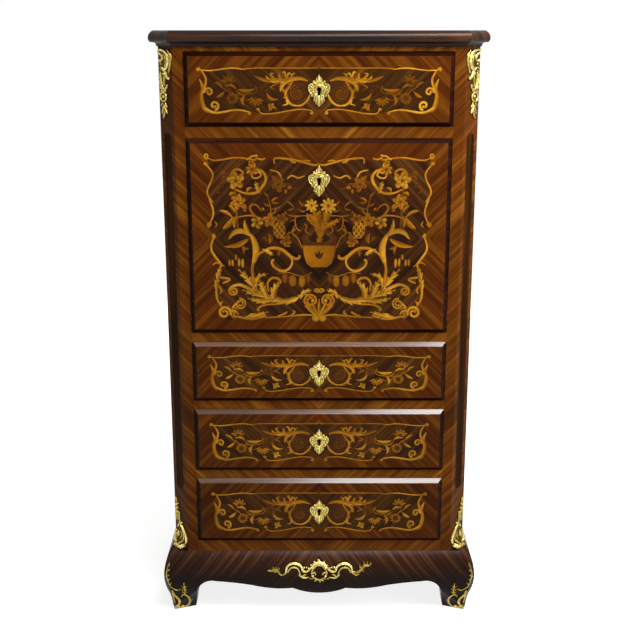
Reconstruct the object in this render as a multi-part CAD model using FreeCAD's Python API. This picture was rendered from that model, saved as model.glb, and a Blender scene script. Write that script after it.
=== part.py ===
import FreeCAD
import Part
import math
import os

Vector = FreeCAD.Vector

# A drop-front writing cabinet in the Louis XV manner, in millimetres.
# Depth 0 is the front plane of the case, depth grows to the back, height 0 is the floor.

# Case: width over the sides, depth, the 45 degree cut of the front corners and the stile beside the openings
CASE_WIDTH = 714.0
CASE_DEPTH = 365.0
CANT = 35.0
STILE = 24.25
WALL = 18.0
BACK_THICKNESS = 10.0

# Heights from the floor up: base, then openings and the rails between them
BASE_HEIGHT = 158.0
BASE_RAIL = 28.5
LOWER_OPENING = 166.0
MIDDLE_OPENING = 156.5
UPPER_OPENING = 147.0
FALL_OPENING = 450.0
FRIEZE_OPENING = 163.0
DRAWER_RAIL = 20.5
FALL_RAIL = 21.0
FRIEZE_RAIL = 25.0
TOP_RAIL = 10.0
TOP_THICKNESS = 34.0

# Drawer fronts and the fall: they stand proud of the case with a bevelled edge
PROUD = 9.0
FRONT_INSET = 13.0
FRONT_GAP = 1.2
RUN_CLEARANCE = 0.6

# Fall: pivot place, foot gap, and the gap to the floor it stops under
PIVOT_DEPTH = 8.0
PIVOT_HEIGHT = 32.0
FALL_FOOT_GAP = 1.5
STOP_GAP = 0.3
PIVOT_RADIUS = 4.0
PIVOT_CLEARANCE = 0.05

# Bombe base: greatest swelling and the height at which the corners start to swell
BULGE = 26.0
KNEE_HEIGHT = 197.0
APRON_THICKNESS = 24.0
CORNER_DEPTH = 56.0

# Gilt mounts stand this far off the surface that carries them
MOUNT_RELIEF = 5.0
MOUNT_SEAT = 0.3

# Keyhole plates: half width and height
UPPER_PLATE = (24.0, 71.0)
LOWER_PLATE = (22.5, 65.0)

# Lengths by which cutting shapes pass through what they cut
OVERRUN = 20.0

HALF_CASE = CASE_WIDTH / 2
HALF_FLAT = HALF_CASE - CANT
HALF_OPENING = HALF_FLAT - STILE
INNER_HALF = HALF_CASE - WALL
INNER_DEPTH = CASE_DEPTH - BACK_THICKNESS

LOWER_SILL = BASE_HEIGHT + BASE_RAIL
MIDDLE_SILL = LOWER_SILL + LOWER_OPENING + DRAWER_RAIL
UPPER_SILL = MIDDLE_SILL + MIDDLE_OPENING + DRAWER_RAIL
FALL_SILL = UPPER_SILL + UPPER_OPENING + FALL_RAIL
FRIEZE_SILL = FALL_SILL + FALL_OPENING + FRIEZE_RAIL
CASE_TOP = FRIEZE_SILL + FRIEZE_OPENING + TOP_RAIL
TOTAL_HEIGHT = CASE_TOP + TOP_THICKNESS

# The foremost point is the apron mount, so the middle of the depth lies here
FRONT_REACH = BULGE + MOUNT_SEAT + MOUNT_RELIEF
DEPTH_SHIFT = (FRONT_REACH - CASE_DEPTH) / 2

DRAWERS = (
    ("lower", LOWER_SILL, LOWER_OPENING, LOWER_PLATE),
    ("middle", MIDDLE_SILL, MIDDLE_OPENING, LOWER_PLATE),
    ("upper", UPPER_SILL, UPPER_OPENING, LOWER_PLATE),
    ("frieze", FRIEZE_SILL, FRIEZE_OPENING, UPPER_PLATE),
)


def block(x, y, z):
    """Box between pairs of x, depth and height."""
    return Part.makeBox(x[1] - x[0], y[1] - y[0], z[1] - z[0], Vector(x[0], y[0], z[0]))


def centred(half, y, z):
    """Box centred on the middle plane."""
    return block((-half, half), y, z)


def pair(shape):
    """The shape and its mirror image on the other side of the middle plane."""
    return [shape, mirrored(shape)]


def mirrored(shape):
    return shape.mirror(Vector(0, 0, 0), Vector(1, 0, 0))


def joined(shapes):
    result = shapes[0]
    for shape in shapes[1:]:
        result = result.fuse(shape)
    return result.removeSplitter()


def common(shapes):
    result = shapes[0]
    for shape in shapes[1:]:
        result = result.common(shape)
    return result


def group(shapes):
    solids = []
    for shape in shapes:
        solids.extend(shape.Solids)
    return Part.makeCompound(solids)


def polygon(points):
    return Part.Face(Part.makePolygon(points + [points[0]]))


def arc(start, middle, end):
    return Part.Arc(start, middle, end).toShape()


def arcs(points):
    """Chain of arcs: every second point is shared by two arcs, the others lie on one."""
    return [arc(*points[i:i + 3]) for i in range(0, len(points) - 2, 2)]


def lobed(points, swells, normal):
    """Face inside a closed row of lobes: each side swells outwards by a share of its chord, or is straight."""
    edges = []
    for start, end, swell in zip(points, points[1:] + points[:1], swells):
        chord = end - start
        middle = start + chord * 0.5 + normal.cross(chord) * swell
        edges.append(arc(start, middle, end) if swell else Part.makeLine(start, end))
    return Part.Face(Part.Wire(edges))


def rod(radius, x, y, z):
    """Round bar along x between the pair x."""
    return Part.makeCylinder(radius, x[1] - x[0], Vector(x[0], y, z), Vector(1, 0, 0))


def write(name, shape):
    placed = shape.copy()
    placed.translate(Vector(0, DEPTH_SHIFT, 0))
    placed.exportStep(os.path.join("parts", name + ".step"))


# Faces of the case that carry profiles: a point on the face, its outward normal, and the way along it
DIAGONAL = math.sqrt(0.5)
FRONT_FACE = (Vector(0, 0, 0), Vector(0, -1, 0), Vector(1, 0, 0))
SIDE_FACE = (Vector(HALF_CASE, 0, 0), Vector(1, 0, 0), Vector(0, 1, 0))
CANT_FACE = (
    Vector(HALF_FLAT + CANT / 2, CANT / 2, 0),
    Vector(DIAGONAL, -DIAGONAL, 0),
    Vector(DIAGONAL, DIAGONAL, 0),
)


def on_face(face, out, along, height):
    """Point at a distance out from a face, along it and above the floor."""
    origin, normal, way = face
    return origin + normal * out + way * along + Vector(0, 0, height)


def profile_prism(face, edges_at, inner, reach, spread):
    """Solid behind a profile that is drawn square to a face and drawn out along it by reach both ways."""
    edges = edges_at(lambda out, height: on_face(face, out + spread, -reach, height))
    start = edges[0].Vertexes[0].Point
    end = edges[-1].Vertexes[-1].Point
    back_start = on_face(face, -inner, -reach, start.z)
    back_end = on_face(face, -inner, -reach, end.z)
    sides = [Part.makeLine(end, back_end), Part.makeLine(back_end, back_start), Part.makeLine(back_start, start)]
    outline = Part.Wire(Part.__sortEdges__(edges + sides))
    return Part.Face(outline).extrude(face[2] * (2 * reach))


def profile_edges(shares, width, height):
    """Chain of arcs from shares of a width (outwards) and a height."""
    return lambda at: arcs([at(out * width, up * height) for out, up in shares])


# Corner posts: bent stiles with a flat front, a canted face and a return that meets the side
POST_FRONT = 22.0
POST_CANT_DEPTH = 20.0
TENON_LENGTH = 12.0
TENON_DEPTH = 10.0
TENON_SETBACK = 12.0
TENON_HEIGHT_SHARE = 0.6


def post_section():
    inner_line = HALF_FLAT - POST_CANT_DEPTH / DIAGONAL
    return [
        (HALF_OPENING, 0),
        (HALF_FLAT, 0),
        (HALF_CASE, CANT),
        (HALF_CASE, CORNER_DEPTH),
        (INNER_HALF, CORNER_DEPTH),
        (INNER_HALF, INNER_HALF - inner_line),
        (inner_line + POST_FRONT, POST_FRONT),
        (HALF_OPENING, POST_FRONT),
    ]


RAIL_DEPTH = CORNER_DEPTH
RAILS = (
    ("base_rail", BASE_HEIGHT, BASE_RAIL),
    ("lower_drawer_rail", LOWER_SILL + LOWER_OPENING, DRAWER_RAIL),
    ("upper_drawer_rail", MIDDLE_SILL + MIDDLE_OPENING, DRAWER_RAIL),
    ("fall_rail", UPPER_SILL + UPPER_OPENING, FALL_RAIL),
    ("frieze_rail", FALL_SILL + FALL_OPENING, FRIEZE_RAIL),
    ("top_rail", FRIEZE_SILL + FRIEZE_OPENING, TOP_RAIL),
)


def tenons(bottom, height):
    inset = height * (1 - TENON_HEIGHT_SHARE) / 2
    tenon = block(
        (HALF_OPENING, HALF_OPENING + TENON_LENGTH),
        (POST_FRONT - TENON_SETBACK, POST_FRONT - TENON_SETBACK + TENON_DEPTH),
        (bottom + inset, bottom + height - inset),
    )
    return pair(tenon)


# Locks: a box let into the back of each front, with a bolt that shoots up into the rail above
LOCK_HALF_WIDTH = 30.0
LOCK_DEPTH = 8.0
LOCK_BELOW_KEY = 20.0
BOLT_HALF_WIDTH = 9.0
BOLT_DEPTH = 5.0
BOLT_HEIGHT = 40.0
BOLT_THROW = 7.0
BOLT_CLEARANCE = 0.3
BOLT_REST = 0.5
BOLT_MIDDLE = FRONT_INSET - LOCK_DEPTH / 2
KEYHOLE_RADIUS = 3.4
KEYHOLE_HALF_WIDTH = 2.0
KEYHOLE_DROP = 10.0
FALL_KEY_DROP = 92.0


def bolt_shape(spread, bottom, top):
    half = BOLT_DEPTH / 2 + spread
    return centred(BOLT_HALF_WIDTH + spread, (BOLT_MIDDLE - half, BOLT_MIDDLE + half), (bottom, top))


def lock_parts(front_top, key_height):
    """Lock box, its bolt at rest, and the room they need in the front."""
    case = centred(LOCK_HALF_WIDTH, (FRONT_INSET - LOCK_DEPTH, FRONT_INSET), (key_height - LOCK_BELOW_KEY, front_top))
    bolt_top = front_top - BOLT_REST
    bolt = bolt_shape(0, bolt_top - BOLT_HEIGHT, bolt_top)
    room = bolt_shape(BOLT_CLEARANCE, bolt_top - BOLT_HEIGHT, front_top + OVERRUN)
    keyhole = keyhole_at(key_height, (FRONT_INSET - LOCK_DEPTH - OVERRUN, BOLT_MIDDLE - BOLT_DEPTH / 2))
    return case.cut(room).cut(keyhole), bolt, case


def keyhole_at(height, depth):
    round_part = Part.makeCylinder(KEYHOLE_RADIUS, depth[1] - depth[0], Vector(0, depth[0], height), Vector(0, 1, 0))
    slot = centred(KEYHOLE_HALF_WIDTH, depth, (height - KEYHOLE_DROP, height))
    return joined([round_part, slot])


def build_rails():
    shapes = {}
    for name, bottom, height in RAILS:
        rail = centred(HALF_OPENING, (0, RAIL_DEPTH), (bottom, bottom + height))
        shapes[name] = joined([rail] + tenons(bottom, height))
    strikes = {
        "lower_drawer_rail": LOWER_SILL + LOWER_OPENING,
        "upper_drawer_rail": MIDDLE_SILL + MIDDLE_OPENING,
        "fall_rail": UPPER_SILL + UPPER_OPENING,
        "frieze_rail": FALL_SILL + FALL_OPENING,
        "top_rail": FRIEZE_SILL + FRIEZE_OPENING,
    }
    for name, bottom in strikes.items():
        strike = bolt_shape(2 * BOLT_CLEARANCE, bottom - OVERRUN, bottom + BOLT_THROW + BOLT_CLEARANCE)
        shapes[name] = shapes[name].cut(strike)
    return shapes


# Pivot plates: brass plates in the posts that take the pins of the fall
PLATE_THICKNESS = 3.0
PLATE_HALF_HEIGHT = 22.0
PLATE_HALF_DEPTH = 7.0
PIN_LENGTH = 10.0
PIVOT_Z = FALL_SILL + PIVOT_HEIGHT


def plate(x):
    return block(
        x,
        (PIVOT_DEPTH - PLATE_HALF_DEPTH, PIVOT_DEPTH + PLATE_HALF_DEPTH),
        (PIVOT_Z - PLATE_HALF_HEIGHT, PIVOT_Z + PLATE_HALF_HEIGHT),
    )


def build_posts():
    section = polygon([Vector(x, y, BASE_HEIGHT) for x, y in post_section()])
    post = section.extrude(Vector(0, 0, CASE_TOP - BASE_HEIGHT))
    for name, bottom, height in RAILS:
        post = post.cut(tenons(bottom, height)[0])
    seat = plate((HALF_OPENING, HALF_OPENING + PLATE_THICKNESS))
    reach = FRONT_GAP + PIN_LENGTH
    bore = rod(PIVOT_RADIUS + PIVOT_CLEARANCE, (HALF_OPENING, HALF_OPENING + reach), PIVOT_DEPTH, PIVOT_Z)
    post = post.cut(seat).cut(bore)
    return post, seat.cut(bore)


# Sides, back and the boards housed in the sides
BOARD = 10.0
HOUSING = 6.0
FLOOR_THICKNESS = 14.0
FLOOR_SETBACK = 15.0
FLOOR_UNDERSIDE = PIVOT_Z + FRONT_INSET - PIVOT_DEPTH + STOP_GAP
FLOOR_TOP = FLOOR_UNDERSIDE + FLOOR_THICKNESS
CEILING = FRIEZE_SILL - BOARD


def board(top, thickness):
    """Board between the sides, behind the rails, with its ends in the housings."""
    return centred(INNER_HALF + HOUSING, (RAIL_DEPTH, INNER_DEPTH), (top - thickness, top))


def floor_board():
    behind = board(FLOOR_TOP, FLOOR_THICKNESS)
    nose = centred(HALF_OPENING, (FLOOR_SETBACK, RAIL_DEPTH), (FLOOR_UNDERSIDE, FLOOR_TOP))
    return joined([behind, nose])


def build_boards():
    return {
        "bottom_board": board(LOWER_SILL, BOARD),
        "dust_boards": [board(level, BOARD) for level in (MIDDLE_SILL, UPPER_SILL, FALL_SILL)],
        "compartment_floor": floor_board(),
        "compartment_ceiling": board(FRIEZE_SILL, BOARD),
    }


def build_side(boards):
    side = block((INNER_HALF, HALF_CASE), (CORNER_DEPTH, CASE_DEPTH), (KNEE_HEIGHT, CASE_TOP))
    side = side.cut(boards["compartment_floor"]).cut(boards["compartment_ceiling"])
    for shape in boards["dust_boards"]:
        side = side.cut(shape)
    return side


# Guides keep the drawers straight; they stand on the boards against the sides
GUIDE_HEIGHT = 24.0


def build_guides():
    guides = []
    for name, sill, opening, key_plate in DRAWERS:
        guide = block((HALF_OPENING - FRONT_GAP, INNER_HALF), (RAIL_DEPTH, INNER_DEPTH), (sill, sill + GUIDE_HEIGHT))
        guides.extend(pair(guide))
    return guides


# Top board: a rounded nose over a hollow, mitred round the front corners
TOP_OVERHANG = 20.0
TOP_NECK = 3.0
TOP_STEP_SHARE = 0.72
TOP_STEP_HEIGHT_SHARE = 0.24
TOP_NOSE_HEIGHT_SHARE = 0.5
TOP_SHOULDER_SHARE = 0.45
TOP_HOLLOW_SHARES = (0.78, 0.36)
TOP_UNDER_SHARES = (0.9, 0.33)
TOP_CROWN_SHARES = (0.78, 0.86)


def top_edges(at):
    hollow_end = TOP_STEP_SHARE * TOP_OVERHANG
    step = TOP_STEP_HEIGHT_SHARE * TOP_THICKNESS
    nose = TOP_NOSE_HEIGHT_SHARE * TOP_THICKNESS
    foot = at(TOP_NECK, CASE_TOP)
    hollow = at(TOP_HOLLOW_SHARES[1] * hollow_end, CASE_TOP + TOP_HOLLOW_SHARES[0] * step)
    lip = at(hollow_end, CASE_TOP + step)
    under = at(TOP_UNDER_SHARES[0] * TOP_OVERHANG, CASE_TOP + TOP_UNDER_SHARES[1] * TOP_THICKNESS)
    tip = at(TOP_OVERHANG, CASE_TOP + nose)
    crown = at(TOP_CROWN_SHARES[0] * TOP_OVERHANG, CASE_TOP + TOP_CROWN_SHARES[1] * TOP_THICKNESS)
    shoulder = at(TOP_SHOULDER_SHARE * TOP_OVERHANG, TOTAL_HEIGHT)
    return [arc(foot, hollow, lip), arc(lip, under, tip), arc(tip, crown, shoulder)]


def build_top():
    far = 2 * CASE_WIDTH
    front = profile_prism(FRONT_FACE, top_edges, CASE_DEPTH, far, 0)
    side = profile_prism(SIDE_FACE, top_edges, far, far, 0)
    corner = profile_prism(CANT_FACE, top_edges, far, far, 0)
    return common([front, side, mirrored(side), corner, mirrored(corner)])


# Bombe base: shares of the swelling (outwards) and of the base height, from the top down.
# The front swells below the base rail; the sides and corners start at the knee, higher up.
KNEE_SHARE = KNEE_HEIGHT / BASE_HEIGHT
KNEE_HOLLOW_SHARE = 1 + 0.515 * (KNEE_SHARE - 1)
LOWER_SHARES = ((0.885, 0.46), (0.58, 0.297), (0.40, 0.148), (0.31, 0.0))
FRONT_SHARES = ((0.0, 1.0), (0.77, 0.823), (1.0, 0.633)) + LOWER_SHARES
SIDE_SHARES = ((0.0, KNEE_SHARE), (0.14, KNEE_HOLLOW_SHARE), (0.46, 1.0), (0.86, 0.823), (1.0, 0.633)) + LOWER_SHARES
CORNER_SHARES = (
    (0.0, KNEE_SHARE), (0.22, KNEE_HOLLOW_SHARE), (0.77, 1.0), (1.80, 0.823), (2.15, 0.633),
    (1.97, 0.46), (1.56, 0.297), (1.28, 0.148), (1.17, 0.0),
)
# Half of the lower edge of the front apron, from the foot to the cusp, and its middle drop
APRON_EDGE_SHARES = (
    (1.0, 0.38), (0.955, 0.515), (0.844, 0.557), (0.70, 0.53), (0.55, 0.485),
    (0.44, 0.438), (0.34, 0.418), (0.275, 0.421), (0.216, 0.43),
)
APRON_DROP_SHARE = 0.329
SIDE_EDGE_SHARES = (
    (0.0, 0.38), (0.055, 0.515), (0.20, 0.557), (0.35, 0.535), (0.5, 0.50),
    (0.65, 0.535), (0.80, 0.557), (0.945, 0.515), (1.0, 0.38),
)
APRON_HALF = HALF_CASE - CORNER_DEPTH
SIDE_APRON = (CORNER_DEPTH, CASE_DEPTH - CORNER_DEPTH)


def base_prism(face, shares, inner, reach, spread):
    return profile_prism(face, profile_edges(shares, BULGE, BASE_HEIGHT), inner, reach, spread)


def apron_room():
    """What the scalloped lower edge of the front apron leaves free."""
    right = [Vector(x * APRON_HALF, -OVERRUN, z * BASE_HEIGHT) for x, z in APRON_EDGE_SHARES]
    left = [Vector(-point.x, point.y, point.z) for point in reversed(right)]
    drop = arc(right[-1], Vector(0, -OVERRUN, APRON_DROP_SHARE * BASE_HEIGHT), left[0])
    low_right = Vector(APRON_HALF, -OVERRUN, -OVERRUN)
    low_left = Vector(-APRON_HALF, -OVERRUN, -OVERRUN)
    edges = arcs(right) + [drop] + arcs(left) + [Part.makeLine(left[-1], low_left)]
    edges += [Part.makeLine(low_left, low_right), Part.makeLine(low_right, right[0])]
    face = Part.Face(Part.Wire(edges))
    face.translate(Vector(0, -BULGE, 0))
    return face.extrude(Vector(0, 2 * BULGE + 2 * OVERRUN + APRON_THICKNESS, 0))


def build_front_apron():
    prism = base_prism(FRONT_FACE, FRONT_SHARES, APRON_THICKNESS, APRON_HALF, 0)
    return prism.cut(apron_room())


def build_side_apron(bottom_board):
    length = SIDE_APRON[1] - SIDE_APRON[0]
    x = HALF_CASE - APRON_THICKNESS - OVERRUN
    points = [Vector(x, SIDE_APRON[0] + y * length, z * BASE_HEIGHT) for y, z in SIDE_EDGE_SHARES]
    low_start = Vector(x, SIDE_APRON[0], -OVERRUN)
    low_end = Vector(x, SIDE_APRON[1], -OVERRUN)
    edges = arcs(points) + [Part.makeLine(points[-1], low_end)]
    edges += [Part.makeLine(low_end, low_start), Part.makeLine(low_start, points[0])]
    room = Part.Face(Part.Wire(edges)).extrude(Vector(APRON_THICKNESS + 2 * OVERRUN + BULGE, 0, 0))
    prism = base_prism(SIDE_FACE, SIDE_SHARES, WALL, CASE_WIDTH, 0)
    between = block((0, CASE_WIDTH), SIDE_APRON, (0, KNEE_HEIGHT))
    return prism.common(between).cut(room).cut(bottom_board)


# Feet: corner blocks whose toe points outwards; the shins fall back from the toe on both sides
SHIN_ANGLE = 21.0
SHIN_HEEL = 14.0
SHIN_SHARES = ((2.4, 0.55), (0.85, 0.27), (0.0, 0.0))
HEEL_TAPER = 9.0
ANKLE_SHARES = ((0.0, 0.43), (0.36, 0.24), (1.0, 0.0))


def shin_face():
    turn = math.radians(SHIN_ANGLE)
    normal = Vector(-math.sin(turn), -math.cos(turn), 0)
    way = Vector(math.cos(turn), -math.sin(turn), 0)
    return Vector(APRON_HALF + HEEL_TAPER, SHIN_HEEL, 0), normal, way


def across_diagonal(shape):
    """Mirror in the upright plane through the corner along its diagonal."""
    return shape.mirror(CANT_FACE[0], CANT_FACE[2])


def shin_room(spread):
    """What lies in front of the shin, to be taken off the foot."""
    face = shin_face()
    edges = arcs([on_face(face, out * BULGE + spread, -CORNER_DEPTH, up * BASE_HEIGHT) for out, up in SHIN_SHARES])
    far_top = on_face(face, CORNER_DEPTH + CASE_WIDTH, -CORNER_DEPTH, SHIN_SHARES[0][1] * BASE_HEIGHT)
    far_low = on_face(face, CORNER_DEPTH + CASE_WIDTH, -CORNER_DEPTH, 0)
    start = edges[0].Vertexes[0].Point
    end = edges[0].Vertexes[-1].Point
    edges += [Part.makeLine(end, far_low), Part.makeLine(far_low, far_top), Part.makeLine(far_top, start)]
    return Part.Face(Part.Wire(edges)).extrude(face[2] * (CORNER_DEPTH * 2))


def foot_stock(spread):
    """Corner of the base inside its three profiles, grown outwards by a spread."""
    deep = 2 * CORNER_DEPTH
    front = base_prism(FRONT_FACE, FRONT_SHARES, deep, CASE_WIDTH, spread)
    side = base_prism(SIDE_FACE, SIDE_SHARES, deep, CASE_WIDTH, spread)
    corner = base_prism(CANT_FACE, CORNER_SHARES, deep, CASE_WIDTH, spread)
    lower = common([front, side, corner])
    return lower.cut(shin_room(spread)).cut(across_diagonal(shin_room(spread)))


def knee_stock(spread):
    """The swelling that rises up the canted face beside the base rail."""
    side = base_prism(SIDE_FACE, SIDE_SHARES, 2 * CORNER_DEPTH, CASE_WIDTH, spread)
    corner = base_prism(CANT_FACE, CORNER_SHARES, 2 * CORNER_DEPTH, CASE_WIDTH, spread)
    limits = block((0, CASE_WIDTH), (0, CORNER_DEPTH), (BASE_HEIGHT, KNEE_HEIGHT))
    return common([side, corner, limits])


def ankle_block(front_edge, back_edge):
    """Room of a foot in plan and side view: straight above, tapering towards the floor."""
    outer = HALF_CASE + 2 * BULGE
    low = -2 * BULGE
    inner = [Vector(APRON_HALF + out * HEEL_TAPER, low, up * BASE_HEIGHT) for out, up in ANKLE_SHARES]
    corner_low = Vector(outer, low, 0)
    corner_high = Vector(outer, low, BASE_HEIGHT)
    inner_high = Vector(APRON_HALF, low, BASE_HEIGHT)
    edges = arcs(inner) + [Part.makeLine(inner[-1], corner_low), Part.makeLine(corner_low, corner_high)]
    edges += [Part.makeLine(corner_high, inner_high), Part.makeLine(inner_high, inner[0])]
    width_room = Part.Face(Part.Wire(edges)).extrude(Vector(0, CASE_DEPTH + 4 * BULGE, 0))
    turn = -1 if back_edge > front_edge else 1
    inner = [Vector(0, back_edge + turn * out * HEEL_TAPER, up * BASE_HEIGHT) for out, up in ANKLE_SHARES]
    corner_low = Vector(0, front_edge, 0)
    corner_high = Vector(0, front_edge, BASE_HEIGHT)
    inner_high = Vector(0, back_edge, BASE_HEIGHT)
    edges = arcs(inner) + [Part.makeLine(inner[-1], corner_low), Part.makeLine(corner_low, corner_high)]
    edges += [Part.makeLine(corner_high, inner_high), Part.makeLine(inner_high, inner[0])]
    depth_room = Part.Face(Part.Wire(edges)).extrude(Vector(outer, 0, 0))
    return width_room.common(depth_room)


def build_front_foot():
    lower = foot_stock(0).common(ankle_block(-2 * BULGE, CORNER_DEPTH))
    post = polygon([Vector(x, y, BASE_HEIGHT) for x, y in post_section()])
    post = post.extrude(Vector(0, 0, KNEE_HEIGHT - BASE_HEIGHT))
    inside = block((0, INNER_HALF), (0, CORNER_DEPTH), (BASE_HEIGHT, KNEE_HEIGHT))
    knee = knee_stock(0).cut(post).cut(inside)
    outer = [solid for solid in knee.Solids if solid.BoundBox.XMax > HALF_CASE]
    return joined([lower] + outer)


def build_rear_foot(bottom_board):
    prism = base_prism(SIDE_FACE, SIDE_SHARES, 2 * CORNER_DEPTH, CASE_WIDTH, 0)
    lower = prism.common(ankle_block(CASE_DEPTH, SIDE_APRON[1]))
    upper = prism.common(block((INNER_HALF, CASE_WIDTH), (SIDE_APRON[1], CASE_DEPTH), (BASE_HEIGHT, KNEE_HEIGHT)))
    return joined([lower, upper]).cut(bottom_board)


# Gilt mounts: outlines as shares of half width and height, with the swell of the side that starts there.
# They are drawn clockwise from the top and cut from a skin over the surface that carries them.
APRON_MOUNT_HALF = 128.0
APRON_MOUNT_FOOT = 82.0
APRON_MOUNT_HEIGHT = 63.0
APRON_MOUNT_SHARES = (
    (0.0, 1.0, 0.0), (0.10, 0.86, 0.25), (0.17, 0.60, 0.0), (0.31, 0.58, 0.0), (0.42, 0.78, 0.2),
    (0.60, 0.74, 0.0), (0.68, 0.50, 0.0), (0.84, 0.68, 0.0), (1.0, 0.78, 0.0), (0.88, 0.52, 0.0),
    (0.66, 0.38, 0.0), (0.50, 0.56, 0.0), (0.40, 0.30, 0.25), (0.20, 0.18, 0.0), (0.0, 0.0, 0.0),
)
APRON_MOUNT_EYE_SHARES = ((0.0, 0.64, 0.2), (0.07, 0.44, 0.2), (0.0, 0.24, 0.0))
UPPER_MOUNT_HEIGHT = 155.0
UPPER_MOUNT_SHARES = (
    (-0.4, 0.95, 0.0), (0.4, 0.95, 0.25), (0.84, 0.80, 0.2), (0.72, 0.60, 0.0), (0.56, 0.44, 0.2),
    (0.46, 0.30, 0.0), (0.36, 0.14, 0.0), (0.04, 0.0, 0.0), (-0.26, 0.08, 0.0), (-0.42, 0.24, 0.0),
    (-0.56, 0.40, 0.0), (-0.82, 0.56, 0.0), (-0.84, 0.76, 0.2),
)
LOWER_MOUNT_FOOT = 162.0
LOWER_MOUNT_HEIGHT = 129.0
LOWER_MOUNT_SHARES = (
    (0.0, 1.0, 0.0), (0.22, 0.82, 0.0), (0.34, 0.64, 0.0), (0.60, 0.50, 0.25), (0.90, 0.30, 0.25),
    (0.56, 0.10, 0.0), (0.0, 0.0, 0.0),
)
SABOT_HEIGHT = 137.0
SABOT_HALF = 36.0
SABOT_SHARES = (
    (0.0, 1.0, 0.0), (0.18, 0.78, 0.0), (0.28, 0.58, 0.0), (0.46, 0.50, 0.0), (0.70, 0.30, 0.0),
    (0.95, 0.0, 0.0), (0.95, -0.1, 0.0), (0.0, -0.1, 0.0),
)


def both_sides(shares):
    """Closed outline and its swells from the right half, drawn from the top to the bottom."""
    points = [(x, z) for x, z, swell in shares]
    swells = [swell for x, z, swell in shares[:-1]]
    return points + [(-x, z) for x, z in reversed(points[1:-1])], swells + swells[::-1]


def outline_prism(face, outline, half, foot, height, depth):
    """Prism through an outline drawn on a face, reaching depth before and behind it."""
    points = [on_face(face, -depth, x * half, foot + z * height) for x, z in outline[0]]
    return lobed(points, outline[1], face[1]).extrude(face[1] * (2 * depth))


def build_apron_mount():
    skin = base_prism(FRONT_FACE, FRONT_SHARES, APRON_THICKNESS, APRON_HALF, MOUNT_SEAT + MOUNT_RELIEF)
    skin = skin.cut(base_prism(FRONT_FACE, FRONT_SHARES, 2 * APRON_THICKNESS, CASE_WIDTH, MOUNT_SEAT))
    half, foot, height = APRON_MOUNT_HALF, APRON_MOUNT_FOOT, APRON_MOUNT_HEIGHT
    outline = outline_prism(FRONT_FACE, both_sides(APRON_MOUNT_SHARES), half, foot, height, CASE_DEPTH)
    eye = outline_prism(FRONT_FACE, both_sides(APRON_MOUNT_EYE_SHARES), half, foot, height, CASE_DEPTH)
    return skin.common(outline).cut(eye)


def build_upper_mount():
    half = CANT / DIAGONAL / 2
    foot = CASE_TOP - UPPER_MOUNT_HEIGHT
    points = [on_face(CANT_FACE, 0, x * half, foot + z * UPPER_MOUNT_HEIGHT) for x, z, swell in UPPER_MOUNT_SHARES]
    swells = [swell for x, z, swell in UPPER_MOUNT_SHARES]
    return lobed(points, swells, CANT_FACE[1]).extrude(CANT_FACE[1] * MOUNT_RELIEF)


def corner_column(spread):
    """The canted face from the floor to above the lower mount, as one solid behind its profile."""
    lower = base_prism(CANT_FACE, CORNER_SHARES, CASE_WIDTH, CASE_WIDTH, spread)
    behind = [(-CASE_WIDTH, 0), (spread, 0)]
    points = [on_face(CANT_FACE, out, -CASE_WIDTH, KNEE_HEIGHT) for out, along in behind]
    top = LOWER_MOUNT_FOOT + 2 * LOWER_MOUNT_HEIGHT
    points += [on_face(CANT_FACE, out, -CASE_WIDTH, top) for out, along in reversed(behind)]
    return joined([lower, polygon(points).extrude(CANT_FACE[2] * (2 * CASE_WIDTH))])


def build_lower_mount():
    half = CANT / DIAGONAL / 2
    skin = corner_column(MOUNT_SEAT + MOUNT_RELIEF).cut(corner_column(MOUNT_SEAT))
    outline = outline_prism(
        CANT_FACE, both_sides(LOWER_MOUNT_SHARES), half, LOWER_MOUNT_FOOT, LOWER_MOUNT_HEIGHT, CASE_DEPTH / 2
    )
    return skin.common(outline)


def build_sabot():
    skin = foot_stock(MOUNT_SEAT + MOUNT_RELIEF / 2).cut(foot_stock(MOUNT_SEAT))
    near = block((APRON_HALF + HEEL_TAPER, CASE_WIDTH), (-CASE_WIDTH, CORNER_DEPTH - HEEL_TAPER), (0, KNEE_HEIGHT))
    outline = outline_prism(CANT_FACE, both_sides(SABOT_SHARES), SABOT_HALF, 0, SABOT_HEIGHT, 3 * CORNER_DEPTH)
    return skin.common(near).common(outline)


# Fronts: a slab in the opening and a bevelled field that stands proud of the case
def front_slab(bottom, top):
    half = HALF_OPENING - FRONT_GAP
    slab = centred(half, (0, FRONT_INSET), (bottom, top))
    rim = [Vector(-half, 0, bottom), Vector(half, 0, bottom), Vector(half, 0, top), Vector(-half, 0, top)]
    field = [
        Vector(-half + PROUD, -PROUD, bottom + PROUD),
        Vector(half - PROUD, -PROUD, bottom + PROUD),
        Vector(half - PROUD, -PROUD, top - PROUD),
        Vector(-half + PROUD, -PROUD, top - PROUD),
    ]
    wires = [Part.makePolygon(points + [points[0]]) for points in (rim, field)]
    return joined([slab, Part.makeLoft(wires, True, True)])


# Drawer linings: dovetailed to the front, bottom in grooves, back between the sides
SIDE_THICKNESS = 10.0
LINING_BACK = 8.0
LINING_BOTTOM = 6.0
BOTTOM_RAISE = 8.0
GROOVE = 4.0
DRAWER_BACK_GAP = 33.0
DRAWER_DEPTH = INNER_DEPTH - DRAWER_BACK_GAP
SIDE_TOP_GAP = 12.0
TAIL_LENGTH = 9.0
TAIL_COUNT = 3
TAIL_ROOT_SHARE = 0.17
TAIL_END_SHARE = 0.22
TAIL_PITCH_SHARE = 0.32


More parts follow.
